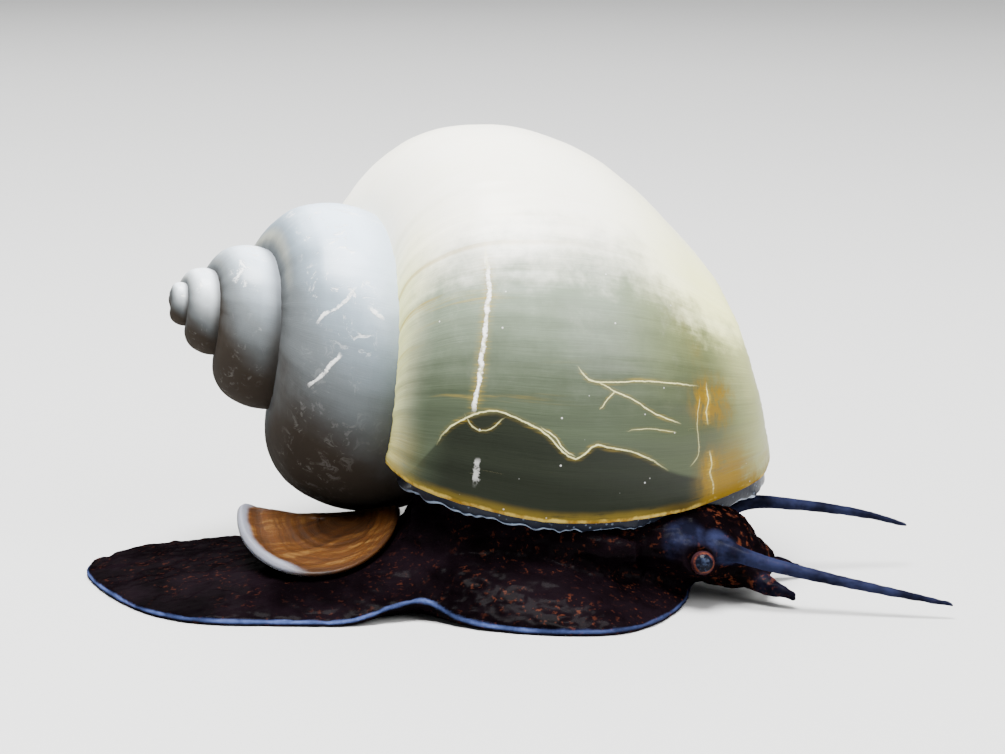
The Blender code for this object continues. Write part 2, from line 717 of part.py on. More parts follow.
def foot_pieces():
    """The foot with its pad, cut across into tail, middle and front."""
    whole = foot_form("foot_middle")
    combine(whole, [lid_pad("pad")], "UNION")
    combine(whole, [applied(operculum("cut", GAP, LID_CLEARANCE))])
    reach = 40.0
    cuts = (-reach, *FOOT_CUTS, reach)
    half_gap = GAP / MM / 2
    for name, low, high in zip(("foot_tail", "foot_middle", "foot_front"), cuts, cuts[1:]):
        piece = whole
        if name != whole.name:
            piece = finish_object(bpy.data.objects.new(name, whole.data.copy()), "foot")
        slab = box_between("slab", (low + half_gap, -reach, -reach),
                           (high - half_gap, reach, reach))
        yield piece, slab


def eye_place(sign):
    """Centre of the right (-1) or left (1) eye."""
    return head_place(EYE_PLACE[0], sign * EYE_PLACE[1], EYE_PLACE[2])


def eye_and_stalk(side, sign, feeler):
    """One eye in the end of its short stalk."""
    eye = eye_place(sign)
    root = head_place(STALK_ROOT[0], sign * STALK_ROOT[1], STALK_ROOT[2])
    ball(f"eye_{side}", eye, EYE_RADIUS, "eye")
    path = [(root.lerp(eye, share), radius * MM) for share, radius in STALK_RADII]
    stalk = rod(f"eye_stalk_{side}", path, "head", 4)
    clear = [(place, radius + GAP) for place, radius in feeler_path(feeler, 0.0, 0.4, 5)]
    combine(stalk, [head_form("cut", GAP), neck_form("cut_neck", GAP),
                    ball("cut_eye", eye, EYE_RADIUS + GAP, "eye"), rod("cut_feeler", clear, "eye")])


def labial_palp(side, sign):
    """One of the two pointed palps beside the mouth."""
    path = [(head_place(forward, sign * out, up), radius * MM)
            for forward, out, up, radius in PALP_PATH]
    piece = rod(f"labial_palp_{side}", path, "head", 3)
    combine(piece, [snout_form("cut", GAP), head_form("cut_head", GAP)])


def build():
    """Build every part of the snail."""
    for obj in list(bpy.data.objects):
        bpy.data.objects.remove(obj)
    bpy.context.scene.collection.children.link(snail)
    bpy.context.scene.collection.children.link(cutters)
    shell_body("shell_body_whorl")
    whorl("shell_penultimate_whorl", PENULTIMATE_START + WHORL_PARTING, BODY_START, 30, "spire",
          count=15)
    spire("shell_spire", PENULTIMATE_START)
    combine(mantle_collar("mantle_collar"), [swollen(inner_lip("cut_lip"))])
    applied(operculum("operculum"))
    for piece, slab in list(foot_pieces()):
        combine(piece, [slab], "INTERSECT")
    combine(neck_form("neck"), [foot_form("cut", GAP), swollen(mantle_collar("cut_collar")),
                                shell_block("cut_shell"),
                                applied(operculum("cut_lid", GAP, LID_CLEARANCE))])
    sockets = [ball(f"cut_eye_{sign}", eye_place(sign), EYE_RADIUS + GAP, "eye")
               for sign in (-1, 1)]
    combine(head_form("head"), [foot_form("cut", GAP), neck_form("cut_neck", GAP),
                                swollen(mantle_collar("cut_collar")), *sockets])
    groove = [(head_place(GROOVE[0], 0.0, height), GROOVE_RADIUS) for height in GROOVE[1:]]
    combine(snout_form("snout"), [head_form("cut", GAP), foot_form("cut_foot", GAP),
                                  rod("mouth", groove, "head")])
    for side, sign, feeler in (("right", -1, RIGHT_TENTACLE), ("left", 1, LEFT_TENTACLE)):
        eye_and_stalk(side, sign, feeler)
        labial_palp(side, sign)
        tentacle(side, feeler)
    for soft in (nuchal_lobe("nuchal_lobe_right"), siphon("siphon")):
        around = [form("cut", GAP) for form in (foot_form, neck_form, head_form)]
        combine(soft, [swollen(mantle_collar("cut_collar")), *around])


build()
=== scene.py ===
"""Looks of a crawling apple snail: shell, one skin for the flesh, mantle edge, operculum, eyes."""

import logging
import math
from dataclasses import dataclass
from enum import Enum
from typing import Callable, Optional, Sequence, Union

import bmesh
import bpy
import numpy as np
from mathutils import Euler, Matrix, Vector, kdtree, noise


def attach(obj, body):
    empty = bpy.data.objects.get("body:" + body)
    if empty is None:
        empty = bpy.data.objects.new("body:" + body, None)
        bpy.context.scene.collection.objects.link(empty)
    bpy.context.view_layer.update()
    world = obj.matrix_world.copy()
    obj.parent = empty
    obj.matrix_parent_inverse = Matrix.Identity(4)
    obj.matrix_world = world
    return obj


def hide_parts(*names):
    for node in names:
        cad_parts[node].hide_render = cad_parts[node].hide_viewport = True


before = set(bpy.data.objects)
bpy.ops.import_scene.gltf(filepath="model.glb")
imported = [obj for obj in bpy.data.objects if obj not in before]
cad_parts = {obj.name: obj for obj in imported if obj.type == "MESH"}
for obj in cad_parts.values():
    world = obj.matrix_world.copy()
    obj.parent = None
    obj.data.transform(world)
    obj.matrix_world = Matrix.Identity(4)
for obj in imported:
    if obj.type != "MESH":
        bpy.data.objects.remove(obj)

LOG = logging.getLogger("apple_snail")
MM = 0.001
TURN = 2 * math.pi
BODY = "root"
FAR_OFF = 9.0  # mm, beyond the reach of every mark on the shell

Knots = Sequence[tuple[float, float]]
Number = Union["Value", float]
Input = Union["Value", bpy.types.NodeSocket, float, Sequence[float]]


class Shape(Enum):
    """Patterns that a texture can take."""

    NOISE = "ShaderNodeTexNoise"
    CELLS = "ShaderNodeTexVoronoi"


def smooth_curve(knots: Knots, at: np.ndarray) -> np.ndarray:
    """Read a smooth curve through knots.

    Args:
        knots: Points (x, y) in the order of x.
        at: The places x at which the curve is read.

    Returns:
        The curve's y at each place.
    """
    x, y = np.array(knots, float).T
    at = np.clip(np.asarray(at, float), x[0], x[-1])
    i = np.clip(np.searchsorted(x, at, side="right") - 1, 0, len(x) - 2)
    index = np.arange(len(x))
    before, after = np.maximum(index - 1, 0), np.minimum(index + 1, len(x) - 1)
    slope = (y[after] - y[before]) / (x[after] - x[before])
    width = x[i + 1] - x[i]
    t = (at - x[i]) / width
    return ((2 * t ** 3 - 3 * t ** 2 + 1) * y[i] + (t ** 3 - 2 * t ** 2 + t) * width * slope[i]
            + (3 * t ** 2 - 2 * t ** 3) * y[i + 1] + (t ** 3 - t ** 2) * width * slope[i + 1])


def smooth_path(points: Sequence[Sequence[float]], count: int) -> np.ndarray:
    """Read a smooth line through points at a number of even steps."""
    at = np.arange(len(points), dtype=float)
    fine = np.linspace(0, len(points) - 1, count)
    return np.stack([smooth_curve(list(zip(at, column)), fine) for column in zip(*points)], axis=1)


def closed_curve(knots: Sequence[Sequence[float]], share: np.ndarray) -> np.ndarray:
    """Read a smooth closed curve through knots, share from 0 to 1 round it."""
    points = np.array(knots, float)
    count = len(points)
    at = (np.asarray(share, float) % 1.0) * count
    i = np.floor(at).astype(int)
    t = (at - i)[:, None]
    p = [points[(i + k) % count] for k in (-1, 0, 1, 2)]
    return 0.5 * (2 * p[1] + (p[2] - p[0]) * t + (2 * p[0] - 5 * p[1] + 4 * p[2] - p[3]) * t ** 2
                  + (3 * p[1] - p[0] - 3 * p[2] + p[3]) * t ** 3)


def smooth_step(low: float, high: float, value: np.ndarray) -> np.ndarray:
    """Rise smoothly from 0 at low to 1 at high, or fall where low is the larger."""
    t = np.clip((np.asarray(value, float) - low) / (high - low), 0, 1)
    return t * t * (3 - 2 * t)


def solve(function: Callable[[float], float], low: float, high: float) -> float:
    """Find where a function that starts negative and ends positive crosses zero."""
    for _ in range(40):
        middle = (low + high) / 2
        if function(middle) < 0:
            low = middle
        else:
            high = middle
    return (low + high) / 2


def operator(operation: str, flipped: bool = False) -> Callable[..., "Value"]:
    """Make a method that adds a Math node.

    Args:
        operation: The node's operation.
        flipped: Whether the value itself is the node's last input.

    Returns:
        The method.
    """
    def method(value: "Value", *others: Number) -> "Value":
        """Add the node to the value's tree."""
        return value.math(operation, *((*others, value) if flipped else (value, *others)))
    return method


class Value:
    """A number in a node tree; Python's operators on it add Math nodes."""

    __add__ = __radd__ = operator("ADD")
    __sub__, __rsub__ = operator("SUBTRACT"), operator("SUBTRACT", True)
    __mul__ = __rmul__ = operator("MULTIPLY")
    __truediv__, __rtruediv__ = operator("DIVIDE"), operator("DIVIDE", True)
    __pow__, __rpow__ = operator("POWER"), operator("POWER", True)
    least, most = operator("MINIMUM"), operator("MAXIMUM")
    floor, size = operator("FLOOR"), operator("ABSOLUTE")
    sine, cosine = operator("SINE"), operator("COSINE")

    def __init__(self, tree: bpy.types.NodeTree, socket: bpy.types.NodeSocket) -> None:
        """Wrap one output socket."""
        self.tree = tree
        self.socket = socket

    def math(self, operation: str, *operands: Number) -> "Value":
        """Add a Math node.

        Args:
            operation: The node's operation.
            operands: Its inputs in order, as values or plain numbers.

        Returns:
            The node's result.
        """
        node = self.tree.nodes.new("ShaderNodeMath")
        node.operation = operation
        for socket, operand in zip(node.inputs, operands):
            if isinstance(operand, Value):
                self.tree.links.new(operand.socket, socket)
            else:
                socket.default_value = operand
        return Value(self.tree, node.outputs[0])

    def between(self, low: float = 0.0, high: float = 1.0) -> "Value":
        """Keep within two limits."""
        return self.most(low).least(high)

    def step(self, low: Number, high: Number) -> "Value":
        """Rise smoothly from 0 at low to 1 at high, or fall where low is the larger."""
        t = ((self - low) / (high - low)).between()
        return t * t * (3.0 - 2.0 * t)


class Board:
    """A node tree and one way to add nodes to it."""

    def __init__(self, tree: bpy.types.NodeTree) -> None:
        """Start with an empty tree."""
        self.tree = tree
        tree.nodes.clear()

    def plug(self, source: Input, socket: bpy.types.NodeSocket) -> None:
        """Link a value to a socket, or set the socket."""
        if isinstance(source, Value):
            self.tree.links.new(source.socket, socket)
        elif isinstance(source, bpy.types.NodeSocket):
            self.tree.links.new(source, socket)
        else:
            socket.default_value = source

    def add(self, kind: str, settings: Optional[dict] = None,
            values: Optional[dict] = None) -> bpy.types.Node:
        """Add a node.

        Args:
            kind: The node's type.
            settings: Its properties; knots are a curve's points.
            values: What its sockets are set or linked to, by name or number.

        Returns:
            The new node.
        """
        node = self.tree.nodes.new(kind)
        for name, value in (settings or {}).items():
            if name == "knots":
                points = node.mapping.curves[0].points
                while len(points) < len(value):
                    points.new(0.5, 0.5)
                for point, place in zip(points, value):
                    point.location = place
                node.mapping.update()
            else:
                setattr(node, name, value)
        for name, value in (values or {}).items():
            self.plug(value, node.inputs[name])
        return node

    def number(self, node: bpy.types.Node, output: Union[int, str] = 0) -> Value:
        """Wrap an output of a node as a number."""
        return Value(self.tree, node.outputs[output])

    def attribute(self, name: str) -> Value:
        """Read a number stored on the mesh."""
        return self.number(self.add("ShaderNodeAttribute", {"attribute_name": name}), "Fac")

    def parts(self, vector: Input) -> tuple[Value, Value, Value]:
        """Split a vector into its three numbers."""
        node = self.add("ShaderNodeSeparateXYZ", None, {0: vector})
        return self.number(node, 0), self.number(node, 1), self.number(node, 2)

    def vector(self, x: Number, y: Number, z: Number) -> bpy.types.NodeSocket:
        """Join three numbers into a vector."""
        return self.add("ShaderNodeCombineXYZ", None, {0: x, 1: y, 2: z}).outputs[0]

    def place(self) -> bpy.types.NodeSocket:
        """Object coordinates."""
        return self.add("ShaderNodeTexCoord").outputs["Object"]

    def noise(self, vector: Input, scale: float, detail: float = 3.0, roughness: float = 0.55,
              distortion: float = 0.0) -> Value:
        """Cloudy noise between 0 and 1."""
        node = self.add(Shape.NOISE.value, {"normalize": True},
                        {"Vector": vector, "Scale": scale, "Detail": detail, "Roughness": roughness,
                         "Distortion": distortion})
        return self.number(node, 0)

    def cells(self, vector: Input, scale: float) -> Value:
        """Distance to scattered points."""
        node = self.add(Shape.CELLS.value, None, {"Vector": vector, "Scale": scale})
        return self.number(node, "Distance")

    def mix(self, factor: Number, first: Input, second: Input) -> bpy.types.NodeSocket:
        """Blend two colours."""
        node = self.add("ShaderNodeMix", {"data_type": "RGBA"}, {0: factor, 6: first, 7: second})
        return node.outputs[2]


def rgb(red: float, green: float, blue: float) -> tuple[float, float, float, float]:
    """A colour with full cover."""
    return (red, green, blue, 1.0)


class Paint:
    """A material in the making: one Principled shader and its board."""

    def __init__(self, name: str, roughness: float, **constants: Input) -> None:
        """Start a material.

        Args:
            name: The material's name.
            roughness: Its plain roughness.
            constants: Other sockets of the shader, with underscores for spaces.
        """
        self.material = bpy.data.materials.new(name)
        self.material.use_nodes = True
        self.board = Board(self.material.node_tree)
        self.shader = self.board.add("ShaderNodeBsdfPrincipled", None, {"Roughness": roughness})
        self.board.add("ShaderNodeOutputMaterial", None, {0: self.shader.outputs[0]})
        for socket, value in constants.items():
            self.shader.inputs[socket.replace("_", " ")].default_value = value

    def feed(self, **sources: Input) -> None:
        """Link what varies over the surface to the shader, with underscores for spaces."""
        for socket, source in sources.items():
            self.board.plug(source, self.shader.inputs[socket.replace("_", " ")])

    def relief(self, height: Value, depth: float, strength: float = 1.0) -> None:
        """Raise the surface by a height between 0 and 1 times a depth in metres."""
        bump = self.board.add("ShaderNodeBump", None,
                              {"Strength": strength, "Distance": depth, "Height": height})
        self.feed(Normal=bump.outputs[0])


def mesh_object(name: str, points: np.ndarray, faces: Sequence[Sequence[int]]) -> bpy.types.Object:
    """Make a smooth mesh object at the origin."""
    mesh = bpy.data.meshes.new(name)
    mesh.from_pydata([tuple(p) for p in points], [], [tuple(int(i) for i in f) for f in faces])
    mesh.validate()
    mesh.shade_smooth()
    obj = bpy.data.objects.new(name, mesh)
    bpy.context.scene.collection.objects.link(obj)
    return obj


def closed_form(name: str, rings: Sequence[np.ndarray],
                poles: Sequence[Sequence[float]]) -> bpy.types.Object:
    """Make a closed form whose faces point outwards.

    Args:
        name: The object's name.
        rings: Rings of as many points each, in metres.
        poles: The two points that close the first and the last ring.

    Returns:
        The form.
    """
    count = len(rings[0])
    faces = [(k * count + i, k * count + (i + 1) % count, (k + 1) * count + (i + 1) % count,
              (k + 1) * count + i) for k in range(len(rings) - 1) for i in range(count)]
    pole, last = len(rings) * count, (len(rings) - 1) * count
    faces += [(base + i, base + (i + 1) % count, end) for base, end in ((0, pole), (last, pole + 1))
              for i in range(count)]
    form = mesh_object(name, np.concatenate([*rings, poles]), faces)
    work = bmesh.new()
    work.from_mesh(form.data)
    bmesh.ops.recalc_face_normals(work, faces=work.faces)
    work.to_mesh(form.data)
    work.free()
    return form


def settle(obj: bpy.types.Object) -> None:
    """Apply an object's modifiers for good."""
    bpy.context.view_layer.update()
    solved = obj.evaluated_get(bpy.context.evaluated_depsgraph_get())
    mesh = bpy.data.meshes.new_from_object(solved)
    obj.modifiers.clear()
    obj.data = mesh
    mesh.name = obj.name


def coordinates(obj: bpy.types.Object, key: str = "co") -> np.ndarray:
    """Places of an object's points, or what else each point has under a key."""
    flat = np.empty(len(obj.data.vertices) * 3, np.float32)
    obj.data.vertices.foreach_get(key, flat)
    return flat.reshape(-1, 3).astype(float)


def normals(obj: bpy.types.Object) -> np.ndarray:
    """Outward directions at an object's points."""
    return coordinates(obj, "normal")


def move_points(obj: bpy.types.Object, points: np.ndarray) -> None:
    """Put an object's points at new places."""
    obj.data.vertices.foreach_set("co", np.asarray(points, np.float32).ravel())
    obj.data.update()


def store(obj: bpy.types.Object, **layers: np.ndarray) -> None:
    """Keep a number, or a vector, for each point of a mesh under a name."""
    for name, values in layers.items():
        kind, key = ("FLOAT_VECTOR", "vector") if values.ndim == 2 else ("FLOAT", "value")
        layer = obj.data.attributes.new(name, kind, "POINT")
        layer.data.foreach_set(key, np.asarray(values, np.float32).ravel())


def read(obj: bpy.types.Object, name: str) -> np.ndarray:
    """Read the numbers kept for a mesh's points."""
    layer = obj.data.attributes[name]
    values = np.empty(len(layer.data), np.float32)
    layer.data.foreach_get("value", values)
    return values.astype(float)


def put_on(obj: bpy.types.Object, material: bpy.types.Material, slot: str,
           *nodes: str) -> bpy.types.Object:
    """Dress a finished piece and tie it to the frame.

    Args:
        obj: The piece.
        material: Its material.
        slot: The record's material slot; not used.
        nodes: The CAD nodes that it stands for.

    Returns:
        The piece.
    """
    obj.data.materials.clear()
    obj.data.materials.append(material)
    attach(obj, BODY)
    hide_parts(*nodes)
    LOG.info("%s: %d points, %d faces", obj.name, len(obj.data.vertices), len(obj.data.polygons))
    return obj


@dataclass(frozen=True)
class Spiral:
    """The rule of the shell: each whorl is a larger copy of the one before."""

    pole: tuple[float, float, float] = (-25.4 * MM, 5.0 * MM, 20.5 * MM)
    slope: float = math.radians(14.2)
    yaw: float = math.radians(12.5)
    growth: float = 1.891
    mouth_size: float = 24.2 * MM
    mouth_angle: float = math.radians(21.2)
    centre: tuple[float, float] = (1.269, 0.350)
    outline_start: float = math.radians(172)
    outline_end: float = math.radians(-20)
    radii: tuple[float, ...] = (0.559, 0.602, 0.561, 0.534, 0.557, 0.672, 0.655)
    lip: Knots = ((0.0, 42.5), (0.06, 30.0), (0.12, 25.0), (0.22, 19.8), (0.36, 16.7), (0.5, 13.8),
                  (0.67, 10.5), (0.78, 6.0), (0.85, 2.0), (0.92, 3.0), (1.0, 10.0))
    parietal: Knots = ((0.0, 42.5), (0.5, 26.0), (1.0, 12.0))

    def axes(self) -> tuple[Vector, Vector, Vector]:
        """The shell's axis from apex to base, and two directions across it."""
        axis = Vector((math.cos(self.slope) * math.cos(self.yaw),
                       math.cos(self.slope) * math.sin(self.yaw), -math.sin(self.slope)))
        near = Vector((0, -1, 0))
        near = (near - axis * near.dot(axis)).normalized()
        return axis, near, axis.cross(near)

    def knots(self) -> Knots:
        """The outline's radii with their shares of the way from suture to base."""
        last = len(self.radii) - 1
        return [(i / last, radius) for i, radius in enumerate(self.radii)]

    def size(self, angle: np.ndarray) -> np.ndarray:
        """Size of the spiral at a growth angle."""
        return self.mouth_size * self.growth ** ((np.asarray(angle) - self.mouth_angle) / TURN)

    def outline(self, share: np.ndarray, inset: np.ndarray = 0.0) -> tuple[np.ndarray, np.ndarray]:
        """Places along and away from the axis on the outline, for a size of 1."""
        polar = self.outline_start + (self.outline_end - self.outline_start) * np.asarray(share)
        radius = smooth_curve(self.knots(), share) - inset
        return (self.centre[0] + radius * np.cos(polar), self.centre[1] + radius * np.sin(polar))

    def off_last_whorl(self, share: float) -> tuple[float, float]:
        """How far the outline stands off the whorl before, and the share where it is nearest."""
        along, away = self.outline(np.array([share]))
        across = (along[0] * self.growth - self.centre[0], away[0] * self.growth - self.centre[1])
        polar = math.atan2(across[1], across[0])
        under = (polar - self.outline_start) / (self.outline_end - self.outline_start)
        radius = smooth_curve(self.knots(), np.array([under]))[0]
        return (math.hypot(*across) - radius) / self.growth, under

    def suture(self) -> tuple[float, float]:
        """Shares at which a whorl leaves the one before, and at which that one is covered."""
        first = solve(lambda share: self.off_last_whorl(share)[0], 0.0, 0.3)
        return first, self.off_last_whorl(first)[1]

    def place(self, angle: np.ndarray, along: np.ndarray, away: np.ndarray) -> np.ndarray:
        """Turn places in the outline's plane at growth angles into points in space."""
        axis, near, down = (np.array(v) for v in self.axes())
        angle, along, away = np.broadcast_arrays(angle, along, away)
        size = self.size(angle)
        across = np.cos(angle)[..., None] * near + np.sin(angle)[..., None] * down
        return (np.array(self.pole) + axis * (size * along)[..., None]
                + across * (size * away)[..., None])


SPIRAL = Spiral()


@dataclass(frozen=True)
class Scar:
    """A mended crack or a worn scratch, as growth angles in degrees and shares across the whorl."""

    name: str
    route: tuple[tuple[float, float], ...]
    width: float = 0.16
    chalky: bool = False
    strength: float = 1.0
    golden: float = 0.4
    taper: float = 9.0

    def path(self, steps: int = 12) -> np.ndarray:
        """Points of a smooth curve along the route, on the shell."""
        angle, share = smooth_path(self.route, (len(self.route) - 1) * steps + 1).T
        return SPIRAL.place(np.radians(angle), *SPIRAL.outline(share))

    def measure(self, shell: bpy.types.Object, reach: float = 3 * MM) -> None:
        """Store the signed distance in mm, the place along and the strength at each point."""
        path = self.path()
        points = coordinates(shell)
        wide = np.full(len(points), FAR_OFF)
        along = np.zeros(len(points))
        fade = np.zeros(len(points))
        near = np.all((points > path.min(0) - reach) & (points < path.max(0) + reach), axis=1)
        near &= read(shell, "rim") > -0.1
        index = np.nonzero(near)[0]
        outward = normals(shell)[index]
        best = np.full(len(index), np.inf)
        total = len(path) - 1
        for k in range(total):
            a, b = path[k], path[k + 1]
            held = np.clip(((points[index] - a) @ (b - a)) / ((b - a) @ (b - a)), 0, 1)
            offset = points[index] - (a + held[:, None] * (b - a))
            distance = np.linalg.norm(offset, axis=1)
            side = np.sign(np.einsum("ij,ij->i", np.cross(b - a, offset), outward))
            closer = distance < best
            best = np.where(closer, distance, best)
            wide[index] = np.where(closer, side * distance / MM, wide[index])
            along[index] = np.where(closer, (k + held) / total, along[index])
        inside = np.clip(along[index] * self.taper, 0, 1)
        inside = inside * np.clip((1 - along[index]) * self.taper, 0, 1)
        fade[index] = inside * self.strength * (best < reach)
        store(shell, **{self.name: np.stack([wide, along, fade], axis=1)})


@dataclass(frozen=True)
class Spot:
    """A soft patch on the shell: growth angle in degrees, share across, radius in mm, strength."""

    growth: float
    share: float
    radius: float
    strength: float = 1.0

    def cover(self, points: np.ndarray) -> np.ndarray:
        """How strongly the patch covers each point."""
        centre = SPIRAL.place(np.radians(self.growth), *SPIRAL.outline(np.array(self.share)))
        away = np.linalg.norm(points - centre, axis=1) / (self.radius * MM)
        return self.strength * np.exp(-away ** 2)


@dataclass(frozen=True)
class ShellFinish:
    """Ivory shell, clear grey-green by the lip, pearly blue-grey and chalk-marked on the spire,
    with painted light and shade: lit and shaded spire tones, a shadow along its sutures and a
    yellow veil painted brighter as light.
    """

    ivory: tuple = rgb(0.92, 0.90, 0.82)
    cream: tuple = rgb(0.86, 0.80, 0.52)
    # Partly painted light: the shell's yellow tint by the lip, made paler and brighter to stand in
    # for the light on that side.
    lit_veil: tuple = rgb(0.83, 0.84, 0.31)
    jade: tuple = rgb(0.145, 0.188, 0.132)
    olive: tuple = rgb(0.145, 0.170, 0.060)
    moss: tuple = rgb(0.038, 0.048, 0.028)
    smoke: tuple = rgb(0.011, 0.0125, 0.009)
    bone: tuple = rgb(0.56, 0.555, 0.49)
    honey: tuple = rgb(0.36, 0.240, 0.018)
    stain: tuple = rgb(0.165, 0.098, 0.006)
    straw: tuple = rgb(0.80, 0.77, 0.36)
    # Painted light and shade on the spire: shadow umber, shade lead, slate and lit pearl are one
    # blue-grey from its shaded to its lit side; shadow umber also paints the shadow along the
    # sutures.
    shadow_umber: tuple = rgb(0.030, 0.024, 0.019)
    shade_lead: tuple = rgb(0.10, 0.112, 0.118)
    slate: tuple = rgb(0.20, 0.255, 0.30)
    lit_pearl: tuple = rgb(0.58, 0.69, 0.81)
    chalk: tuple = rgb(0.90, 0.89, 0.86)
    lip_pale: tuple = rgb(0.48, 0.35, 0.085)
    lip_dark: tuple = rgb(0.17, 0.065, 0.008)
    inside: tuple = rgb(0.40, 0.34, 0.26)
    arrest: float = -25.0
    early: tuple[float, float] = (-205.0, -265.0)
    ageing: tuple[float, float] = (-110.0, -190.0)
    low: tuple[float, float] = (-22.0, 22.0)
    oldest: tuple[float, float] = (-560.0, -1100.0)

    def whorl(self, board: Board, degrees: Value, across: Value, lines: Value, blot: Value,
              cloud: Value) -> bpy.types.NodeSocket:
        """Colour of the body whorl: ivory, then clearer and darker towards the lip.

        Args:
            board: The material's board.
            degrees: The growth angle in degrees, 0 near the lip and less before it.
            across: The share of the way from the suture to the base.
            lines: Fine growth lines.
            blot: Wide blots.
            cloud: Small clouds.

        Returns:
            The colour.
        """
        wide = board.noise(board.vector(degrees * 0.11, across * 1.3, 5.0), 2.0, 4, 0.62)
        turn = degrees + (blot - 0.5) * 14.0
        pale = (lines * 0.5 + blot * 0.5 - 0.32).between(0.0, 0.4)
        colour = board.mix(pale, self.ivory, self.cream)
        # Painted light: the veil is the shell's own yellow tint near the lip, painted brighter to
        # stand in for the light falling there.
        right = across.step(0.40, 0.72) * turn.step(-95.0, -20.0) * 0.85
        left = across.step(0.20, 0.03) * turn.step(-60.0, -15.0) * 0.9
        colour = board.mix(right.most(left) * (0.75 + 0.4 * wide), colour, self.lit_veil)
        aged = (turn + (wide - 0.5) * 90.0).step(*self.ageing) * (0.4 + 0.6 * lines)
        colour = board.mix(aged, colour, self.bone)
        patches = aged * (wide * 0.6 + blot * 0.4).step(0.52, 0.66) * 0.5
        colour = board.mix(patches, colour, self.jade)
        late = across.step(0.50, 0.64)
        fresh = (turn + (wide - 0.5) * 14.0 + (cloud - 0.5) * 26.0).step(
            late * 20.0 + (self.arrest - 12.0), late * 8.0 - 8.0)
        side = (0.2 + 0.8 * across.step(0.01, 0.15)) * (1.0 - 0.46 * across.step(0.64, 0.80))
        colour = board.mix((fresh * side * (0.90 + 0.12 * lines)).between(0.0, 0.95), colour,
                           board.mix(across.step(0.40, 0.62), self.jade, self.olive))
        low = (turn + (cloud - 0.5) * 16.0).step(*self.low)
        colour = board.mix((low * side * (0.86 + 0.14 * lines)).between(0.0, 0.92), colour,
                           self.moss)
        deep = board.attribute("past_crack").step(-0.5, 0.8) * across.step(0.09, 0.20)
        mist = board.noise(board.place(), 260, 5, 0.7).step(0.50, 0.70)
        colour = board.mix(mist * fresh * (1.0 - low) * 0.10, colour, self.ivory)
        deep = deep * (1.0 - 0.80 * across.step(0.58, 0.74)) * (0.86 + 0.10 * lines)
        colour = board.mix(deep.between(0.0, 0.90), colour, self.smoke)
        streak = wide.step(0.54, 0.66) * across.step(0.42, 0.04) * turn.step(-30.0, -12.0)
        streak = streak * turn.step(30.0, 18.0) * lines.step(0.40, 0.62)
        line = (degrees - self.arrest + (blot - 0.5) * 3.0).size().step(1.3, 0.2)
        line = line * across.step(0.5, 0.1) * (0.3 + 0.6 * lines)
        return board.mix((streak * 0.7).most(line * 0.75), colour, self.honey)

    def spire(self, board: Board, degrees: Value, across: Value, cloud: Value,
              place: bpy.types.NodeSocket) -> bpy.types.NodeSocket:
        """Colour of the older whorls: pearly blue-grey with a cream line along the suture, as
        painted light and shade: lighter where the surface faces the key light, darker where it
        faces away, with a painted shadow along the covered suture.
        """
        # Painted shade: one band of older whorls, growth angles from about -560 to -1000 degrees,
        # is made to face the light less, so it reads darker.
        shade = degrees.step(-560.0, -640.0) * degrees.step(-1000.0, -930.0) * 0.14
        sky = board.attribute("sky") + (board.noise(place, 200, 4, 0.6) - 0.5) * 0.35 - shade
        # Painted light and shade: the colour runs from shadow umber to lit pearl by how far the
        # surface faces the key light, broken up with noise.
        colour = board.mix(sky.step(-0.58, -0.05), self.shadow_umber, self.shade_lead)
        colour = board.mix(sky.step(-0.10, 0.48), colour, self.slate)
        colour = board.mix(sky.step(0.26, 0.85), colour, self.lit_pearl)
        # Chalky wear on the oldest whorls, partly painted light: it shows only on the side that
        # faces the key light.
        lit_wear = degrees.step(*self.oldest) * sky.step(-0.3, 0.7) * 0.40
        colour = board.mix(lit_wear, colour, self.chalk)
        first, covered = SPIRAL.suture()
        # Painted shadow: darker where the whorl turns in towards the covered suture, stronger on
        # the older whorls.
        suture_shade = across.step(covered - 0.13, covered - 0.01)
        suture_shade = suture_shade * (0.25 + 0.5 * degrees.step(-500.0, -640.0))
        colour = board.mix(suture_shade, colour, self.shadow_umber)
        band = (across + (cloud - 0.5) * 0.03).step(first + 0.10, first + 0.03)
        band = band * (0.3 + 0.7 * degrees.step(-900.0, -450.0))
        # Partly painted light: the cream line is the shell's own colour, but it shows only on the
        # side facing the key light.
        return board.mix(band * sky.step(-0.2, 0.5) * 0.72, colour, self.cream)

    def scratches(self, board: Board, scars: Sequence[Scar], place: bpy.types.NodeSocket,
                  lines: Value) -> tuple[Value, Value, Value]:
        """Cover of the pale cracks, of the chalky marks and of the honey tint beside them."""
        coarse, fine = board.noise(place, 700, 4, 0.75), board.noise(place, 1900, 3, 0.7)
        pale, white, tint = (board.number(board.add("ShaderNodeValue")) for _ in range(3))
        for scar in scars:
            wide, _, fade = board.parts(
                board.add("ShaderNodeAttribute", {"attribute_name": scar.name}).outputs["Vector"])
            if scar.chalky:
                off = (wide + (coarse - 0.5) * 5.0 * scar.width).size()
                line = off.step(scar.width * 1.2, scar.width * 0.5) * fade
                white = white.most(line * fine.step(0.30, 0.55))
            else:
                off = wide + (coarse - 0.5) * 2.2 * scar.width + (fine - 0.5) * scar.width
                line = off.size().step(scar.width * 0.65, scar.width * 0.15) * fade
                pale = pale.most(line * (0.3 + 1.1 * coarse))
            side = wide.size().step(scar.width * 3.2, scar.width * 0.8) * fade
            side = side * (0.15 + 0.7 * lines.step(0.48, 0.66)) * scar.golden
            tint = tint.most(side)
        return pale, white, tint

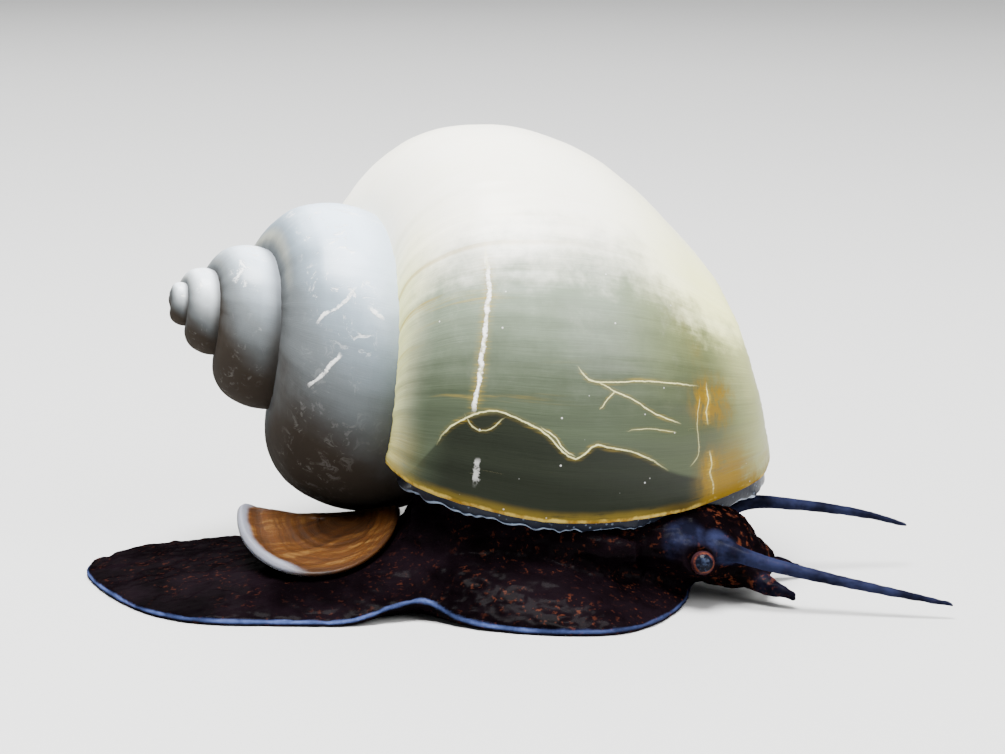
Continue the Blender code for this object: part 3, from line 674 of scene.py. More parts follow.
    def material(self, scars: Sequence[Scar]) -> bpy.types.Material:
        """Make the material.

        Args:
            scars: The marks whose distances the mesh holds.

        Returns:
            The material.
        """
        paint = Paint("ivory_shell", 0.3, Coat_Roughness=0.28, Specular_IOR_Level=0.0)
        board = paint.board
        degrees, across = board.attribute("growth") * math.degrees(1.0), board.attribute("across")
        rim, stain = board.attribute("rim"), board.attribute("stain")
        place = board.place()
        blot, cloud = board.noise(place, 120, 4, 0.6), board.noise(place, 420, 4, 0.65)
        lines = board.noise(board.vector(degrees * 0.38, across * 2.2, 0.0), 4.0, 4, 0.62)
        bands = board.noise(board.vector(degrees * 0.005, across * 30.0, 1.0), 2.0, 3, 0.55)
        early = (degrees + (blot - 0.5) * 40.0).step(*self.early)
        colour = board.mix(early, self.whorl(board, degrees, across, lines, blot, cloud),
                           self.spire(board, degrees, across, cloud, place))
        bars = board.noise(board.vector(degrees * 0.12, across * 42.0, 2.0), 2.0, 4, 0.65)
        patchy = bars.step(0.36, 0.60) * cloud.step(0.32, 0.56)
        colour = board.mix((stain * (0.25 + 1.3 * patchy)).between(0.0, 0.95), colour, self.stain)
        lit_crumbs = board.noise(place, 800, 4, 0.75, 1.2).step(0.54, 0.62) * early
        middle = across.step(0.12, 0.2) * across.step(0.42, 0.33) * cloud.step(0.44, 0.54)
        lit_crumbs = lit_crumbs * (blot.step(0.54, 0.66) * 0.5).most(middle)
        # Partly painted light: the chalky crumbs are real wear, but they show mostly on the side
        # that faces the key light.
        lit_crumbs = lit_crumbs * (0.06 + 0.94 * board.attribute("sky").step(0.06, 0.40))
        pits = board.cells(place, 640).step(0.058, 0.02)
        pits = pits * (1.0 - early) * degrees.step(-60.0, -20.0)
        pale, white, tint = self.scratches(board, scars, place, lines)
        colour = board.mix(tint, colour, self.honey)
        marks = (lit_crumbs * 0.7).most(pits * 0.6).most(white * 0.95)
        colour = board.mix(pale * 0.9, colour, self.straw)
        colour = board.mix(marks, colour, self.chalk)
        edge = board.mix(cloud.step(0.46, 0.62), self.lip_pale, self.lip_dark)
        ragged = (rim + (cloud - 0.5) * 0.7).step(0.22, 0.02)
        colour = board.mix(ragged * 0.95, colour, edge)
        corner = 0.4 * across.step(0.16, 0.04)
        corner = corner + across.step(0.60, 0.70) * across.step(0.78, 0.71)
        glow = rim.step(0.9, 0.2) * 0.3 + rim.step(5.5, 1.5) * corner
        colour = board.mix(glow * (lines * 0.6 + cloud * 0.5).step(0.34, 0.58), colour,
                           board.mix(across.step(0.5, 0.6), self.honey, self.stain))
        rough = (0.27 + 0.16 * lines + 0.14 * early + 0.3 * marks).between(0.12, 0.8)
        paint.feed(Base_Color=board.mix(rim.step(-0.15, -0.5), colour, self.inside),
                   Roughness=rough,
                   Coat_Weight=0.03 + 0.5 * board.attribute("sky").step(-0.1, 0.6))
        height = lines * (0.38 - 0.16 * early) + bands * 0.15 + marks * 0.5 - lit_crumbs * 0.9
        paint.relief(height + early * cloud * 0.6, 0.11 * MM, 0.7)
        return paint.material


@dataclass(frozen=True)
class FleshFinish:
    """Dark plum skin with rust flecks, slate-blue feelers and a pale line round the foot, which is
    a painted highlight on the foot's upper lip.
    """

    plum: tuple = rgb(0.0011, 0.0006, 0.0009)
    dusk: tuple = rgb(0.0036, 0.0020, 0.0030)
    rust: tuple = rgb(0.056, 0.0150, 0.0070)
    slate: tuple = rgb(0.0035, 0.0040, 0.0095)
    slate_light: tuple = rgb(0.013, 0.016, 0.041)
    # Painted highlight: the bluish line along the foot's upper lip.
    hem: tuple = rgb(0.060, 0.088, 0.23)

    def material(self) -> bpy.types.Material:
        """Make the material."""
        paint = Paint("dark_skin", 0.5, Coat_Weight=0.014, Coat_Roughness=0.25,
                      Specular_IOR_Level=0.0)
        board = paint.board
        feeler, hem = board.attribute("feeler"), board.attribute("hem")
        freckle, stalk = board.attribute("freckle"), board.attribute("stalk")
        place = board.place()
        cloud, patch = board.noise(place, 220, 4, 0.6), board.noise(place, 420, 3, 0.6)
        grain = board.cells(place, 2600)
        colour = board.mix(cloud.step(0.35, 0.7), self.plum, self.dusk)
        front = board.parts(place)[0].step(-6.0 * MM, 2.0 * MM) * 0.4 + 0.3
        small = board.noise(place, 2500, 2, 0.6).step(0.57, 0.70) * patch.step(0.40, 0.62) * front
        large = board.noise(place, 1700, 2, 0.6).step(0.56, 0.68) * freckle * patch.step(0.38, 0.54)
        colour = board.mix(small.most(large).between(0.0, 0.95), colour, self.rust)
        veins = board.noise(place, 500, 3, 0.6).step(0.35, 0.7)
        blue = board.mix(veins, self.slate, self.slate_light)
        colour = board.mix((feeler + stalk * 0.9).between() * 0.93, colour, blue)
        # Painted highlight along the foot's rim, patchy with noise.
        colour = board.mix(hem * (0.35 + 0.65 * cloud.step(0.36, 0.58)), colour, self.hem)
        paint.feed(Base_Color=colour,
                   Roughness=(0.42 + 0.25 * cloud + 0.1 * grain).between(0.2, 0.8))
        paint.relief(grain.step(0.0, 0.6) * 0.5 + cloud * 0.5, 0.10 * MM, 0.55)
        return paint.material


@dataclass(frozen=True)
class MantleFinish:
    """Clear bluish band with a thin pale border."""

    border: tuple = rgb(0.30, 0.38, 0.52)
    band: tuple = rgb(0.007, 0.009, 0.016)
    inner: tuple = rgb(0.006, 0.004, 0.006)

    def material(self) -> bpy.types.Material:
        """Make the material."""
        paint = Paint("mantle_skin", 0.35, Coat_Weight=0.05, Coat_Roughness=0.12,
                      Specular_IOR_Level=0.1)
        board = paint.board
        depth = board.attribute("depth")
        place = board.place()
        cloud = board.noise(place, 600, 4, 0.65)
        colour = board.mix(depth.step(0.1, 0.7), self.band, self.inner)
        dots = board.cells(place, 2400).step(0.28, 0.12) * cloud.step(0.4, 0.6)
        colour = board.mix(dots * 0.35, colour, self.border)
        line = (depth + 0.34 + (cloud - 0.5) * 0.2).size().step(0.20, 0.08)
        line = line * (0.35 + 0.65 * cloud.step(0.3, 0.6))
        paint.feed(Base_Color=board.mix(line, colour, self.border))
        paint.relief(cloud, 0.10 * MM, 0.7)
        return paint.material


@dataclass(frozen=True)
class LidFinish:
    """Horny brown-orange plate with uneven layers and a thick pale rim at its free side."""

    brown: tuple = rgb(0.009, 0.0035, 0.0012)
    amber: tuple = rgb(0.060, 0.020, 0.003)
    tan: tuple = rgb(0.100, 0.050, 0.013)
    rim: tuple = rgb(0.150, 0.155, 0.185)

    def material(self) -> bpy.types.Material:
        """Make the material."""
        paint = Paint("horny_plate", 0.45, Coat_Weight=0.06, Coat_Roughness=0.25,
                      Specular_IOR_Level=0.1, Subsurface_Weight=0.1,
                      Subsurface_Radius=(1.0, 0.5, 0.2), Subsurface_Scale=0.5 * MM)
        board = paint.board
        ring, free = board.attribute("ring"), board.attribute("free")
        layer = board.attribute("layer")
        place = board.place()
        x, y, z = board.parts(place)
        cloud = board.noise(place, 350, 4, 0.6)
        sweep = y * 1300.0 - x * 700.0 + cloud * 3.0
        layers = board.noise(board.vector(layer * 6.0 + cloud * 0.9, x * 60.0, 0.0), 2.2, 5, 0.7)
        fibres = board.noise(board.vector(sweep, x * 160.0, z * 300.0), 1.0, 4, 0.65)
        golden = layer.step(0.30, 0.62) * layer.step(1.0, 0.84)
        colour = board.mix((layers * 1.5 + fibres * 1.1 + golden * 0.35 - 1.05).between(),
                           self.brown, self.amber)
        colour = board.mix(fibres.step(0.48, 0.66) * layers.step(0.42, 0.6) * golden, colour,
                           self.tan)
        pale = (ring + (cloud - 0.5) * 0.12 + free * 0.06).step(0.90, 0.98) * free
        paint.feed(Base_Color=board.mix(pale, colour, self.rim), Roughness=0.35 + 0.3 * cloud)
        paint.relief(layers * 0.6 + fibres * 0.5, 0.12 * MM, 0.9)
        return paint.material


@dataclass(frozen=True)
class EyeFinish:
    """Speckled orange ring round a dark pearly pupil."""

    ring: tuple = rgb(0.080, 0.022, 0.012)
    ring_dark: tuple = rgb(0.020, 0.008, 0.010)
    pupil: tuple = rgb(0.003, 0.0035, 0.007)
    sheen: tuple = rgb(0.022, 0.030, 0.055)

    def material(self) -> bpy.types.Material:
        """Make the material."""
        paint = Paint("eye", 0.4, Coat_Weight=0.08, Coat_Roughness=0.05, Specular_IOR_Level=0.0)
        board = paint.board
        off = board.attribute("pupil")
        cloud = board.noise(board.place(), 2600, 3, 0.7)
        colour = board.mix(cloud.step(0.40, 0.62), self.ring_dark, self.ring)
        dark = board.mix(cloud.step(0.45, 0.75), self.pupil, self.sheen)
        colour = board.mix((off + (cloud - 0.5) * 0.08).step(0.84, 0.74), colour, dark)
        paint.feed(Base_Color=board.mix(off.step(0.93, 1.08), colour, self.ring_dark))
        return paint.material


@dataclass
class Shell:
    """The shell as one spiral sheet with a rounded lip, made by a node tree from its rule."""

    turns: float = 4.45
    rows: int = 900
    columns: int = 96
    base_columns: int = 12
    lip_rows: int = 8
    inner_rows: int = 14
    wall: float = 0.48 * MM
    crowding: float = 0.7
    inner_depth: float = math.radians(14)
    shear_start: float = math.radians(150)
    apex_angle: float = math.radians(70)
    closed_share: float = -0.245
    closed_turns: tuple[float, float] = (1.25, 1.6)
    tip_along: float = 0.88
    start_along: float = 1.45
    raggedness: float = 0.30 * MM
    base_lag: float = math.radians(12)
    pillar: float = 0.15
    # The key light's direction and the rows of smoothing, from which the shell's painted light and
    # shade are measured.
    light: tuple[float, float, float] = (0.46, 0.0, 0.90)
    light_rows: int = 8
    crack: Knots = ((0.0, 34.0), (0.10, 26.0), (0.163, 10.0), (0.182, 5.0), (0.212, 1.0),
                    (0.262, -2.0), (0.307, -1.0), (0.335, 0.0), (0.372, 3.0), (0.392, 3.0),
                    (0.416, 0.0), (0.478, 0.0), (0.520, 1.0), (0.563, 3.0), (0.65, 5.0),
                    (0.75, 9.0), (1.0, 10.0))
    scars: Sequence[Scar] = ()
    stains: Sequence[Spot] = ()

    def sizes(self) -> dict[str, float]:
        """The tree's named inputs and their sizes."""
        return {"Whorl Growth": SPIRAL.growth, "Mouth Size": SPIRAL.mouth_size, "Wall": self.wall}

    def tree(self) -> bpy.types.NodeTree:
        """Build the tree that turns a flat grid into the shell's sheet."""
        tree = bpy.data.node_groups.new("spiral_shell", "GeometryNodeTree")
        board = Board(tree)
        for name in self.sizes():
            tree.interface.new_socket(name, in_out="INPUT", socket_type="NodeSocketFloat")
        tree.interface.new_socket("Material", in_out="INPUT", socket_type="NodeSocketMaterial")
        tree.interface.new_socket("Geometry", in_out="OUTPUT", socket_type="NodeSocketGeometry")
        inputs = board.add("NodeGroupInput")
        growth_rate, mouth_size, wall = (board.number(inputs, name) for name in self.sizes())
        total = self.rows + self.lip_rows + self.inner_rows + 1
        grid = board.add("GeometryNodeMeshGrid", None,
                         {"Size X": 1.0, "Size Y": 1.0, "Vertices X": total,
                          "Vertices Y": self.columns})
        index = board.number(board.add("GeometryNodeInputIndex"))
        row = ((index + 0.5) / self.columns).floor()
        column = index - row * self.columns

        end = math.radians(SPIRAL.lip[0][1])
        begin = end - self.turns * TURN
        run = (row / self.rows).least(1.0) ** self.crowding
        growth = run * (end - begin) + begin

        suture = SPIRAL.suture()[0]
        opened = growth.step(*(begin + turns * TURN for turns in self.closed_turns))
        first = opened * (suture - self.closed_share) + self.closed_share
        outline_columns = self.columns - 1 - self.base_columns
        share = (column / outline_columns).least(1.0) * (1.0 - first) + first
        beyond = ((column - outline_columns) / self.base_columns).most(0.0) * opened
        roll = ((row - self.rows) / self.lip_rows).between() * math.pi
        inside = ((row - self.rows - self.lip_rows) / self.inner_rows).most(0.0)

        lip_top = SPIRAL.lip[0][1]
        knots = [(at, degrees / lip_top) for at, degrees in SPIRAL.lip]
        held = share.most(0.0)
        lip = board.number(board.add("ShaderNodeFloatCurve", {"knots": knots}, {"Value": held}))
        lag = (1.0 - lip) * end - beyond * self.base_lag
        sheared = growth.step(end - self.shear_start, end)
        half = wall * 0.5
        radii = board.add("ShaderNodeFloatCurve", {"knots": SPIRAL.knots()}, {"Value": held})
        turned = growth - lag * sheared
        angle = turned - inside * self.inner_depth
        size = mouth_size * growth_rate ** ((angle - SPIRAL.mouth_angle) / TURN)
        polar = share * (SPIRAL.outline_end - SPIRAL.outline_start) + SPIRAL.outline_start
        ridges = self.ridges(board, growth, share, sheared)
        inset = half * (1.0 - roll.cosine()) / size + ridges
        swell = (1.0 - (1.0 - ((growth - begin) / self.apex_angle).between()) ** 2.0) ** 0.5
        radius = board.number(radii) - inset
        along = radius * polar.cosine() + SPIRAL.centre[0]
        domed = (share / self.closed_share).step(0.0, 1.0)
        tip = self.tip_along * float(SPIRAL.size(begin))
        along = along + domed * (tip / size - float(SPIRAL.outline(self.closed_share)[0]))
        along = (along - self.start_along) * swell + self.start_along
        away = (radius * polar.sine() + SPIRAL.centre[1]) * swell
        base_along, base_away = (float(v) for v in SPIRAL.outline(1.0))
        climb = base_along * (1 - 1 / SPIRAL.growth)
        narrow = base_away * (1 - 1 / SPIRAL.growth)
        tilt = SPIRAL.outline_end
        along = along - beyond * climb + beyond * inset * math.cos(tilt)
        away = away - beyond * narrow + beyond * inset * (1 + math.sin(tilt))
        at_lip = growth.step(end - self.inner_depth, end)
        notches = board.noise(board.vector(share * 26.0, 2.0, 0.0), 2.0, 4, 0.65) - 0.5
        ahead = half * (roll.sine() - 1.0) + notches * self.raggedness
        angle = angle + ahead * at_lip / (size * away.most(self.pillar))

        axis, near, down = SPIRAL.axes()
        forward = size * along
        across = size * away
        side, drop = across * angle.cosine(), across * angle.sine()
        place = board.vector(*(forward * axis[i] + side * near[i] + drop * down[i] + SPIRAL.pole[i]
                               for i in range(3)))
        moved = board.add("GeometryNodeSetPosition", None,
                          {"Geometry": grid.outputs["Mesh"], "Position": place})
        rim = (end - growth) * size * away.most(0.2) / MM - (roll.cosine() * -0.5 + 0.5)
        geometry = moved.outputs[0]
        for name, value in (("growth", growth), ("across", share), ("rim", rim),
                            ("past_crack", turned * math.degrees(1.0))):
            kept = board.add("GeometryNodeStoreNamedAttribute",
                             {"data_type": "FLOAT", "domain": "POINT"},
                             {"Geometry": geometry, "Name": name, "Value": value})
            geometry = kept.outputs[0]
        real = board.add("GeometryNodeRealizeInstances", None, {"Geometry": geometry})
        dressed = board.add("GeometryNodeSetMaterial", None,
                            {"Geometry": real.outputs[0], "Material": inputs.outputs["Material"]})
        smooth = board.add("GeometryNodeSetShadeSmooth", None, {0: dressed.outputs[0]})
        board.add("NodeGroupOutput", None, {0: smooth.outputs[0]})
        return tree

    def ridges(self, board: Board, growth: Value, share: Value, sheared: Value) -> Value:
        """Uneven growth ridges and shallow dents, as shares of the whorl's size."""
        coarse = board.noise(board.vector(growth * 1.6, share * 0.8, 0.0), 2.0, 2, 0.5)
        ridge = board.noise(board.vector(growth * 9.0, share * 0.6, 3.0), 2.0, 3, 0.6)
        spiral = board.noise(board.vector(growth * 0.15, share * 16.0, 7.0), 1.5, 2, 0.5)
        return ((coarse - 0.5) * 0.016 + (ridge - 0.5) * 0.008 * (1.0 + sheared)
                + (spiral - 0.5) * 0.004)

    def build(self, finish: ShellFinish) -> bpy.types.Object:
        """Make the shell.

        Args:
            finish: Its colours.

        Returns:
            The finished piece.
        """
        shell = mesh_object("shell", np.zeros((1, 3)), [])
        modifier = shell.modifiers.new("spiral", "NODES")
        modifier.node_group = self.tree()
        sockets = {item.name: item.identifier for item in modifier.node_group.interface.items_tree}
        for name, value in self.sizes().items():
            modifier[sockets[name]] = value
        settle(shell)
        self.orient(shell)
        for scar in self.scars:
            scar.measure(shell)
        points = coordinates(shell)
        crack = smooth_curve(self.crack, read(shell, "across"))
        past = shell.data.attributes["past_crack"]
        past.data.foreach_set("value", np.float32(read(shell, "past_crack") - crack))
        covers = np.sum([spot.cover(points) for spot in self.stains], axis=0)
        # Painted light: how far each point faces the key light, smoothed along the rows and stored
        # as sky; the shell's colour takes lit and shaded tones from it, and its coat follows it.
        sky = (normals(shell) @ np.array(self.light)).reshape(-1, self.columns)
        for _ in range(self.light_rows):
            padded = np.pad(sky, ((1, 1), (0, 0)), "edge")
            sky = (padded[:-2] + 2 * sky + padded[2:]) / 4
        store(shell, stain=np.minimum(covers, 1.0), sky=sky.ravel())
        return put_on(shell, finish.material(self.scars), "shell", "shell_body_whorl",
                      "shell_penultimate_whorl", "shell_spire")

    def orient(self, shell: bpy.types.Object) -> None:
        """Turn the sheet's faces outwards."""
        polygon = shell.data.polygons[self.rows // 2 * (self.columns - 1) + self.columns // 3]
        axis = Vector(SPIRAL.axes()[0])
        spoke = polygon.center - Vector(SPIRAL.pole)
        spoke -= axis * spoke.dot(axis)
        if polygon.normal.dot(spoke) < 0:
            shell.data.flip_normals()


@dataclass
class Mantle:
    """The mantle's edge: a soft wavy frill round the inside of the lip."""

    rim: Knots = ((0.0, 1.0), (0.5, 1.05), (0.66, 1.15), (0.76, 1.5), (0.85, 1.9), (1.0, 1.5))
    inset: float = 0.60 * MM
    thickness: float = 0.9 * MM
    ruffle: float = 0.10 * MM
    depth: float = math.radians(11)
    columns: int = 420
    back_rings: int = 10
    round_rings: int = 8
    inner_rings: int = 8
    least_away: float = 0.19
    recess: float = 4.5 * MM

    def loop(self) -> tuple[np.ndarray, np.ndarray, np.ndarray, np.ndarray]:
        """Round the mouth: lip angle, places along and away from the axis, share of the lip."""
        outer = np.linspace(0.10, 0.985, int(self.columns * 0.7))
        lip = np.radians(smooth_curve(SPIRAL.lip, outer))
        along, away = SPIRAL.outline(outer, self.inset / SPIRAL.size(lip))
        covered = SPIRAL.suture()[1]
        inner = np.linspace(1.0, 0.06, self.columns - len(outer))
        under = covered + (1.0 - covered) * inner
        low, off = (v / SPIRAL.growth for v in SPIRAL.outline(under, -0.02))
        off = np.maximum(off, self.least_away)
        back = np.radians(smooth_curve(SPIRAL.parietal, inner))
        share = np.concatenate([outer, inner])
        return (np.concatenate([lip, back]), np.concatenate([along, low]),
                np.concatenate([away, off]), share)

    def build(self, finish: MantleFinish) -> bpy.types.Object:
        """Make the frill and the dark hollow within it."""
        lip, along, away, share = self.loop()
        for _ in range(6):
            lip, along, away = ((np.roll(v, 1) + 2 * v + np.roll(v, -1)) / 4
                                for v in (lip, along, away))
        size = SPIRAL.size(lip)
        reach = smooth_curve(self.rim, share) * MM
        around = np.linspace(0, TURN, len(lip), endpoint=False)
        ruffle = self.ruffle * (np.sin(around * 23 + 2 * np.sin(around * 5))
                                + 0.5 * np.sin(around * 47 + 3 * np.sin(around * 9)))
        middle = (np.mean(along * size), np.mean(away * size))
        inward = np.stack([middle[0] - along * size, middle[1] - away * size], axis=1)
        inward /= np.linalg.norm(inward, axis=1)[:, None]
        distance = size * np.maximum(away, 0.2)
        rows, depths = [], []

        def ring(ahead: np.ndarray, within: np.ndarray, depth: float) -> None:
            """Add a ring that stands ahead of the lip and within the mouth's outline."""
            angle = lip + ahead / distance
            rows.append(SPIRAL.place(angle, along + inward[:, 0] * within / size,
                                     away + inward[:, 1] * within / size))
            depths.append(np.full(len(lip), depth))

        back = self.depth * distance
        front = reach + ruffle - self.thickness / 2
        for k in range(self.back_rings):
            share_out = k / self.back_rings
            ring(-back * (1 - share_out) + front * share_out, np.zeros(len(lip)), -2.0 + k * 0.13)
        for k in range(self.round_rings + 1):
            turn = math.pi * k / self.round_rings
            ring(front + self.thickness / 2 * math.sin(turn),
                 np.full(len(lip), self.thickness / 2 * (1 - math.cos(turn))), (k - 4) * 0.18)
        for k in range(1, self.inner_rings + 1):
            ring(front - self.recess * math.sin(math.pi / 2 * k / self.inner_rings),
                 np.full(len(lip), self.thickness + 0.35 * MM * k), 0.8 + k * 0.2)
        mantle = closed_form("mantle_edge", rows, [rows[0].mean(axis=0), rows[-1].mean(axis=0)])
        store(mantle, depth=np.concatenate([*depths, [-2.0, 3.0]]))
        return put_on(mantle, finish.material(), "mantle", "mantle_collar")


@dataclass
class Operculum:
    """The horny lid, dished, ringed and thick at its rim."""

    centre: tuple[float, float, float] = (-13.3 * MM, 1.7 * MM, 3.95 * MM)
    tilt: float = math.radians(17)
    near_length: float = 9.0 * MM
    far_length: float = 3.3 * MM
    half_width: float = 5.9 * MM
    dish: float = 0.9 * MM
    bend: float = 3.2 * MM
    thickness: float = 0.6 * MM
    nucleus: tuple[float, float] = (0.42, 0.05)
    free_angle: float = math.radians(204)
    free_reach: float = math.radians(66)
    clearance: float = 0.12 * MM
    margin: float = 1.3
    no_limit: float = 99.0
    round_from: float = 0.93
    round_width: float = 0.07
    spokes: int = 160
    rings: int = 60

    def freedom(self, angle: np.ndarray) -> np.ndarray:
        """How thick and pale the rim is at an angle round the lid: most at the left near side."""
        off = np.abs((angle - self.free_angle + math.pi) % TURN - math.pi)
        return smooth_step(self.free_reach, self.free_reach * 0.6, off)

    def layers(self, share: np.ndarray, angle: np.ndarray) -> np.ndarray:
        """Growth rings round the nucleus, which lies off the middle: 0 there, 1 at the rim."""
        nucleus = np.array(self.nucleus)
        ray = np.stack([np.cos(angle) * share, np.sin(angle) * share], axis=-1) - nucleus
        length = np.maximum(np.linalg.norm(ray, axis=-1), 1e-6)
        unit = ray / length[:, None]
        inward = unit @ nucleus
        return length / (np.sqrt(inward ** 2 + 1 - nucleus @ nucleus) - inward)

    def limit(self, points: np.ndarray) -> np.ndarray:
        """Height in mm that flesh under the lid may reach at points in mm; high beside the lid."""
        centre = np.array(self.centre) / MM
        sine, cosine = math.sin(self.tilt), math.cos(self.tilt)
        side = (points[:, 0] - centre[0]) / (self.half_width / MM)
        away = points[:, 1] - centre[1]
        rise = np.zeros(len(points))
        for _ in range(4):
            v = (away + rise * sine) / cosine
            along = v * MM / np.where(v > 0, self.far_length, self.near_length)
            share = np.hypot(side, along)
            rise = (self.dish * np.minimum(share, 1.1) ** 2
                    - self.bend * np.clip(along, 0, 1.1) ** 2) / MM
        height = centre[2] + v * sine + rise * cosine - self.clearance / MM
        return np.where(share > self.margin, self.no_limit,
                        height + 6.0 * np.maximum(share - 1.03, 0))

    def sheet(self, share: np.ndarray, angle: np.ndarray, lift: np.ndarray) -> np.ndarray:
        """Points of the lid's under side, raised by a lift."""
        side, along = np.cos(angle) * share, np.sin(angle) * share
        length = np.where(along > 0, self.far_length, self.near_length)
        rise = self.dish * share ** 2 - self.bend * np.maximum(along, 0) ** 2
        return np.stack([self.half_width * side, length * along, rise + lift], axis=-1)

    def edge(self, share: float) -> float:
        """How thick the plate still is near its rim."""
        past = max(0.0, (share - self.round_from) / self.round_width)
        return math.sqrt(max(0.0, 1 - past ** 2))

    def build(self, finish: LidFinish) -> bpy.types.Object:
        """Make the lid."""
        angle = np.linspace(0, TURN, self.spokes, endpoint=False)
        free = self.freedom(angle)
        rows, rings = [], []
        for k in range(1, self.rings + 1):
            share = k / self.rings
            edge = self.edge(share)
            layer = self.layers(np.full(self.spokes, share), angle)
            ripple = 0.022 * MM * np.sin(layer * 46 + 2.2 * np.sin(layer * 13)) * min(1, share * 3)
            rim = 0.22 * MM * math.exp(-((share - 0.94) / 0.04) ** 2) * free
            wave = 0.05 * MM * np.sin(angle * 3 + share * 9)
            lift = self.thickness / 2 * (1 + edge) + (ripple + rim + wave) * edge
            rows.append(self.sheet(np.full_like(angle, share), angle, lift))
            rings.append(np.full(self.spokes, share))
        for k in range(self.rings, 0, -3):
            share = k / self.rings
            lift = self.thickness / 2 * (1 - self.edge(share))
            rows.append(self.sheet(np.full_like(angle, share * 0.999), angle,
                                   np.full_like(angle, lift)))
            rings.append(np.full(self.spokes, share))
        lid = closed_form("operculum_plate", rows, [[0, 0, self.thickness], [0, 0, 0]])
        lid.data.transform(Matrix.Translation(self.centre) @ Matrix.Rotation(self.tilt, 4, "X"))
        ring = np.concatenate([*rings, [0, 0]])
        free, angle = (np.concatenate([np.tile(v, len(rows)), [0, 0]]) for v in (free, angle))
        store(lid, ring=ring, free=free, layer=self.layers(ring, angle))
        return put_on(lid, finish.material(), "operculum", "operculum")


Station = tuple[float, float, float, float, float]


@dataclass
class Flesh:
    """Foot, neck, head and feelers as one skin."""

    lid: Operculum
    voxel: float = 0.21 * MM
    fillet: float = 0.45 * MM
    cap_roundness: float = 0.45
    pad_depth: float = 6.0
    foot_centre: tuple[float, float] = (-8.0, -0.6)
    foot_rim: tuple = ((-30.4, 2.6, 0.0), (-28.6, -2.6, 0.0), (-25.2, -8.2, 0.0),
                       (-21.0, -11.2, 0.0), (-15.0, -11.8, 0.0), (-10.6, -11.9, 0.1),
                       (-7.4, -10.8, 0.9), (-5.3, -10.5, 1.15), (-3.0, -12.0, 0.3),
                       (0.6, -13.6, 0.0), (5.0, -14.4, 0.0), (8.6, -13.6, 0.0),
                       (11.4, -10.0, 0.0), (13.2, -4.6, 0.0), (13.4, 1.2, 0.0),
                       (12.0, 6.4, 0.0), (8.4, 9.8, 0.0), (2.4, 11.2, 0.2), (-3.6, 10.9, 0.9),
                       (-9.6, 12.2, 0.1), (-16.0, 12.9, 0.0), (-22.4, 12.2, 0.0),
                       (-27.2, 9.4, 0.0), (-29.8, 6.2, 0.0))
    foot_crest: Knots = ((-31.0, 1.4), (-25.0, 1.9), (-18.0, 2.3), (-12.0, 2.6), (-7.0, 3.9),
                         (-2.0, 4.9), (6.0, 4.8), (11.0, 3.4), (14.0, 1.7))
    foot_edge: float = 0.6
    # Height above the foot's rim at which the painted highlight line runs, in mm.
    rim_highlight_height: float = 0.36
    lift_start: float = 0.7
    pad: tuple[Station, ...] = ((-13.2, 0.0, 3.0, 4.3, 4.7), (-13.2, 0.6, 5.2, 3.6, 3.8))
    neck: tuple[Station, ...] = ((1.9, -0.9, 1.6, 10.4, 7.4), (1.9, -0.9, 3.0, 10.2, 7.2),
                                 (2.2, -0.6, 5.0, 9.8, 6.6), (2.5, 0.0, 7.0, 9.4, 6.2),
                                 (2.9, 0.8, 9.0, 9.2, 6.0), (3.2, 1.6, 11.5, 9.0, 5.8))
    lobe: tuple[Station, ...] = ((2.0, -6.6, 5.0, 0.7, 0.8), (4.4, -7.5, 4.9, 0.8, 1.1),
                                 (7.0, -7.9, 4.5, 0.75, 1.2), (9.2, -7.7, 4.3, 0.5, 0.8))
    siphon: tuple[Station, ...] = ((5.0, 5.4, 5.4, 1.7, 1.3), (8.4, 7.6, 5.1, 1.7, 1.3),
                                   (11.8, 9.2, 4.9, 1.6, 1.3), (14.2, 10.0, 5.1, 1.75, 1.5))
    bore: tuple[Station, ...] = ((12.6, 9.5, 5.0, 0.8, 0.7), (13.6, 9.8, 5.05, 1.0, 0.85),
                                 (17.0, 10.8, 5.3, 1.5, 1.3))
    head_origin: tuple[float, float] = (13.0, -1.8)
    head_yaw: float = math.radians(-6)
    head: tuple[Station, ...] = ((-6.0, 0.3, 4.6, 5.4, 3.0), (-3.0, 0.2, 4.5, 5.6, 3.1),
                                 (0.0, 0.0, 4.1, 5.4, 2.9), (2.2, 0.0, 3.7, 4.8, 2.6),
                                 (3.6, 0.0, 3.3, 3.9, 2.1), (4.4, 0.0, 3.0, 2.8, 1.5))
    snout: tuple[Station, ...] = ((2.0, 0.0, 2.6, 3.6, 1.9), (4.0, 0.0, 2.4, 3.5, 1.85),
                                  (5.2, 0.0, 2.15, 3.1, 1.55), (5.9, 0.0, 1.95, 2.2, 1.1))
    eye: tuple[float, float, float] = (1.6, 5.7, 3.5)
    eye_radius: float = 0.85
    socket_depth: float = -0.15
    socket_rim: float = 0.22
    socket_reach: float = 1.55
    stalk_root: tuple[float, float, float] = (-0.4, 4.0, 4.4)
    stalk_radii: tuple = ((0.0, 1.5), (0.5, 1.35), (0.95, 1.05))
    palp: tuple = ((4.6, 2.4, 1.7, 0.8), (5.9, 3.1, 1.4, 0.7), (7.1, 3.8, 1.1, 0.5),
                   (8.1, 4.4, 0.85, 0.28))
    feelers: tuple = (
        ((13.9, -5.3, 4.5, 0.90), (15.5, -6.35, 4.2, 0.70), (18.2, -7.3, 3.45, 0.55),
         (21.4, -8.0, 2.8, 0.47), (24.6, -8.6, 2.2, 0.40), (28.0, -9.2, 1.6, 0.32),
         (31.4, -9.7, 1.0, 0.20)),
        ((14.4, 1.6, 4.2, 0.90), (15.9, 2.6, 4.8, 0.70), (18.2, 3.4, 5.3, 0.55),
         (21.2, 4.0, 5.0, 0.46), (24.4, 4.5, 4.5, 0.39), (27.2, 4.9, 3.9, 0.31),
         (29.8, 5.2, 3.1, 0.20)))

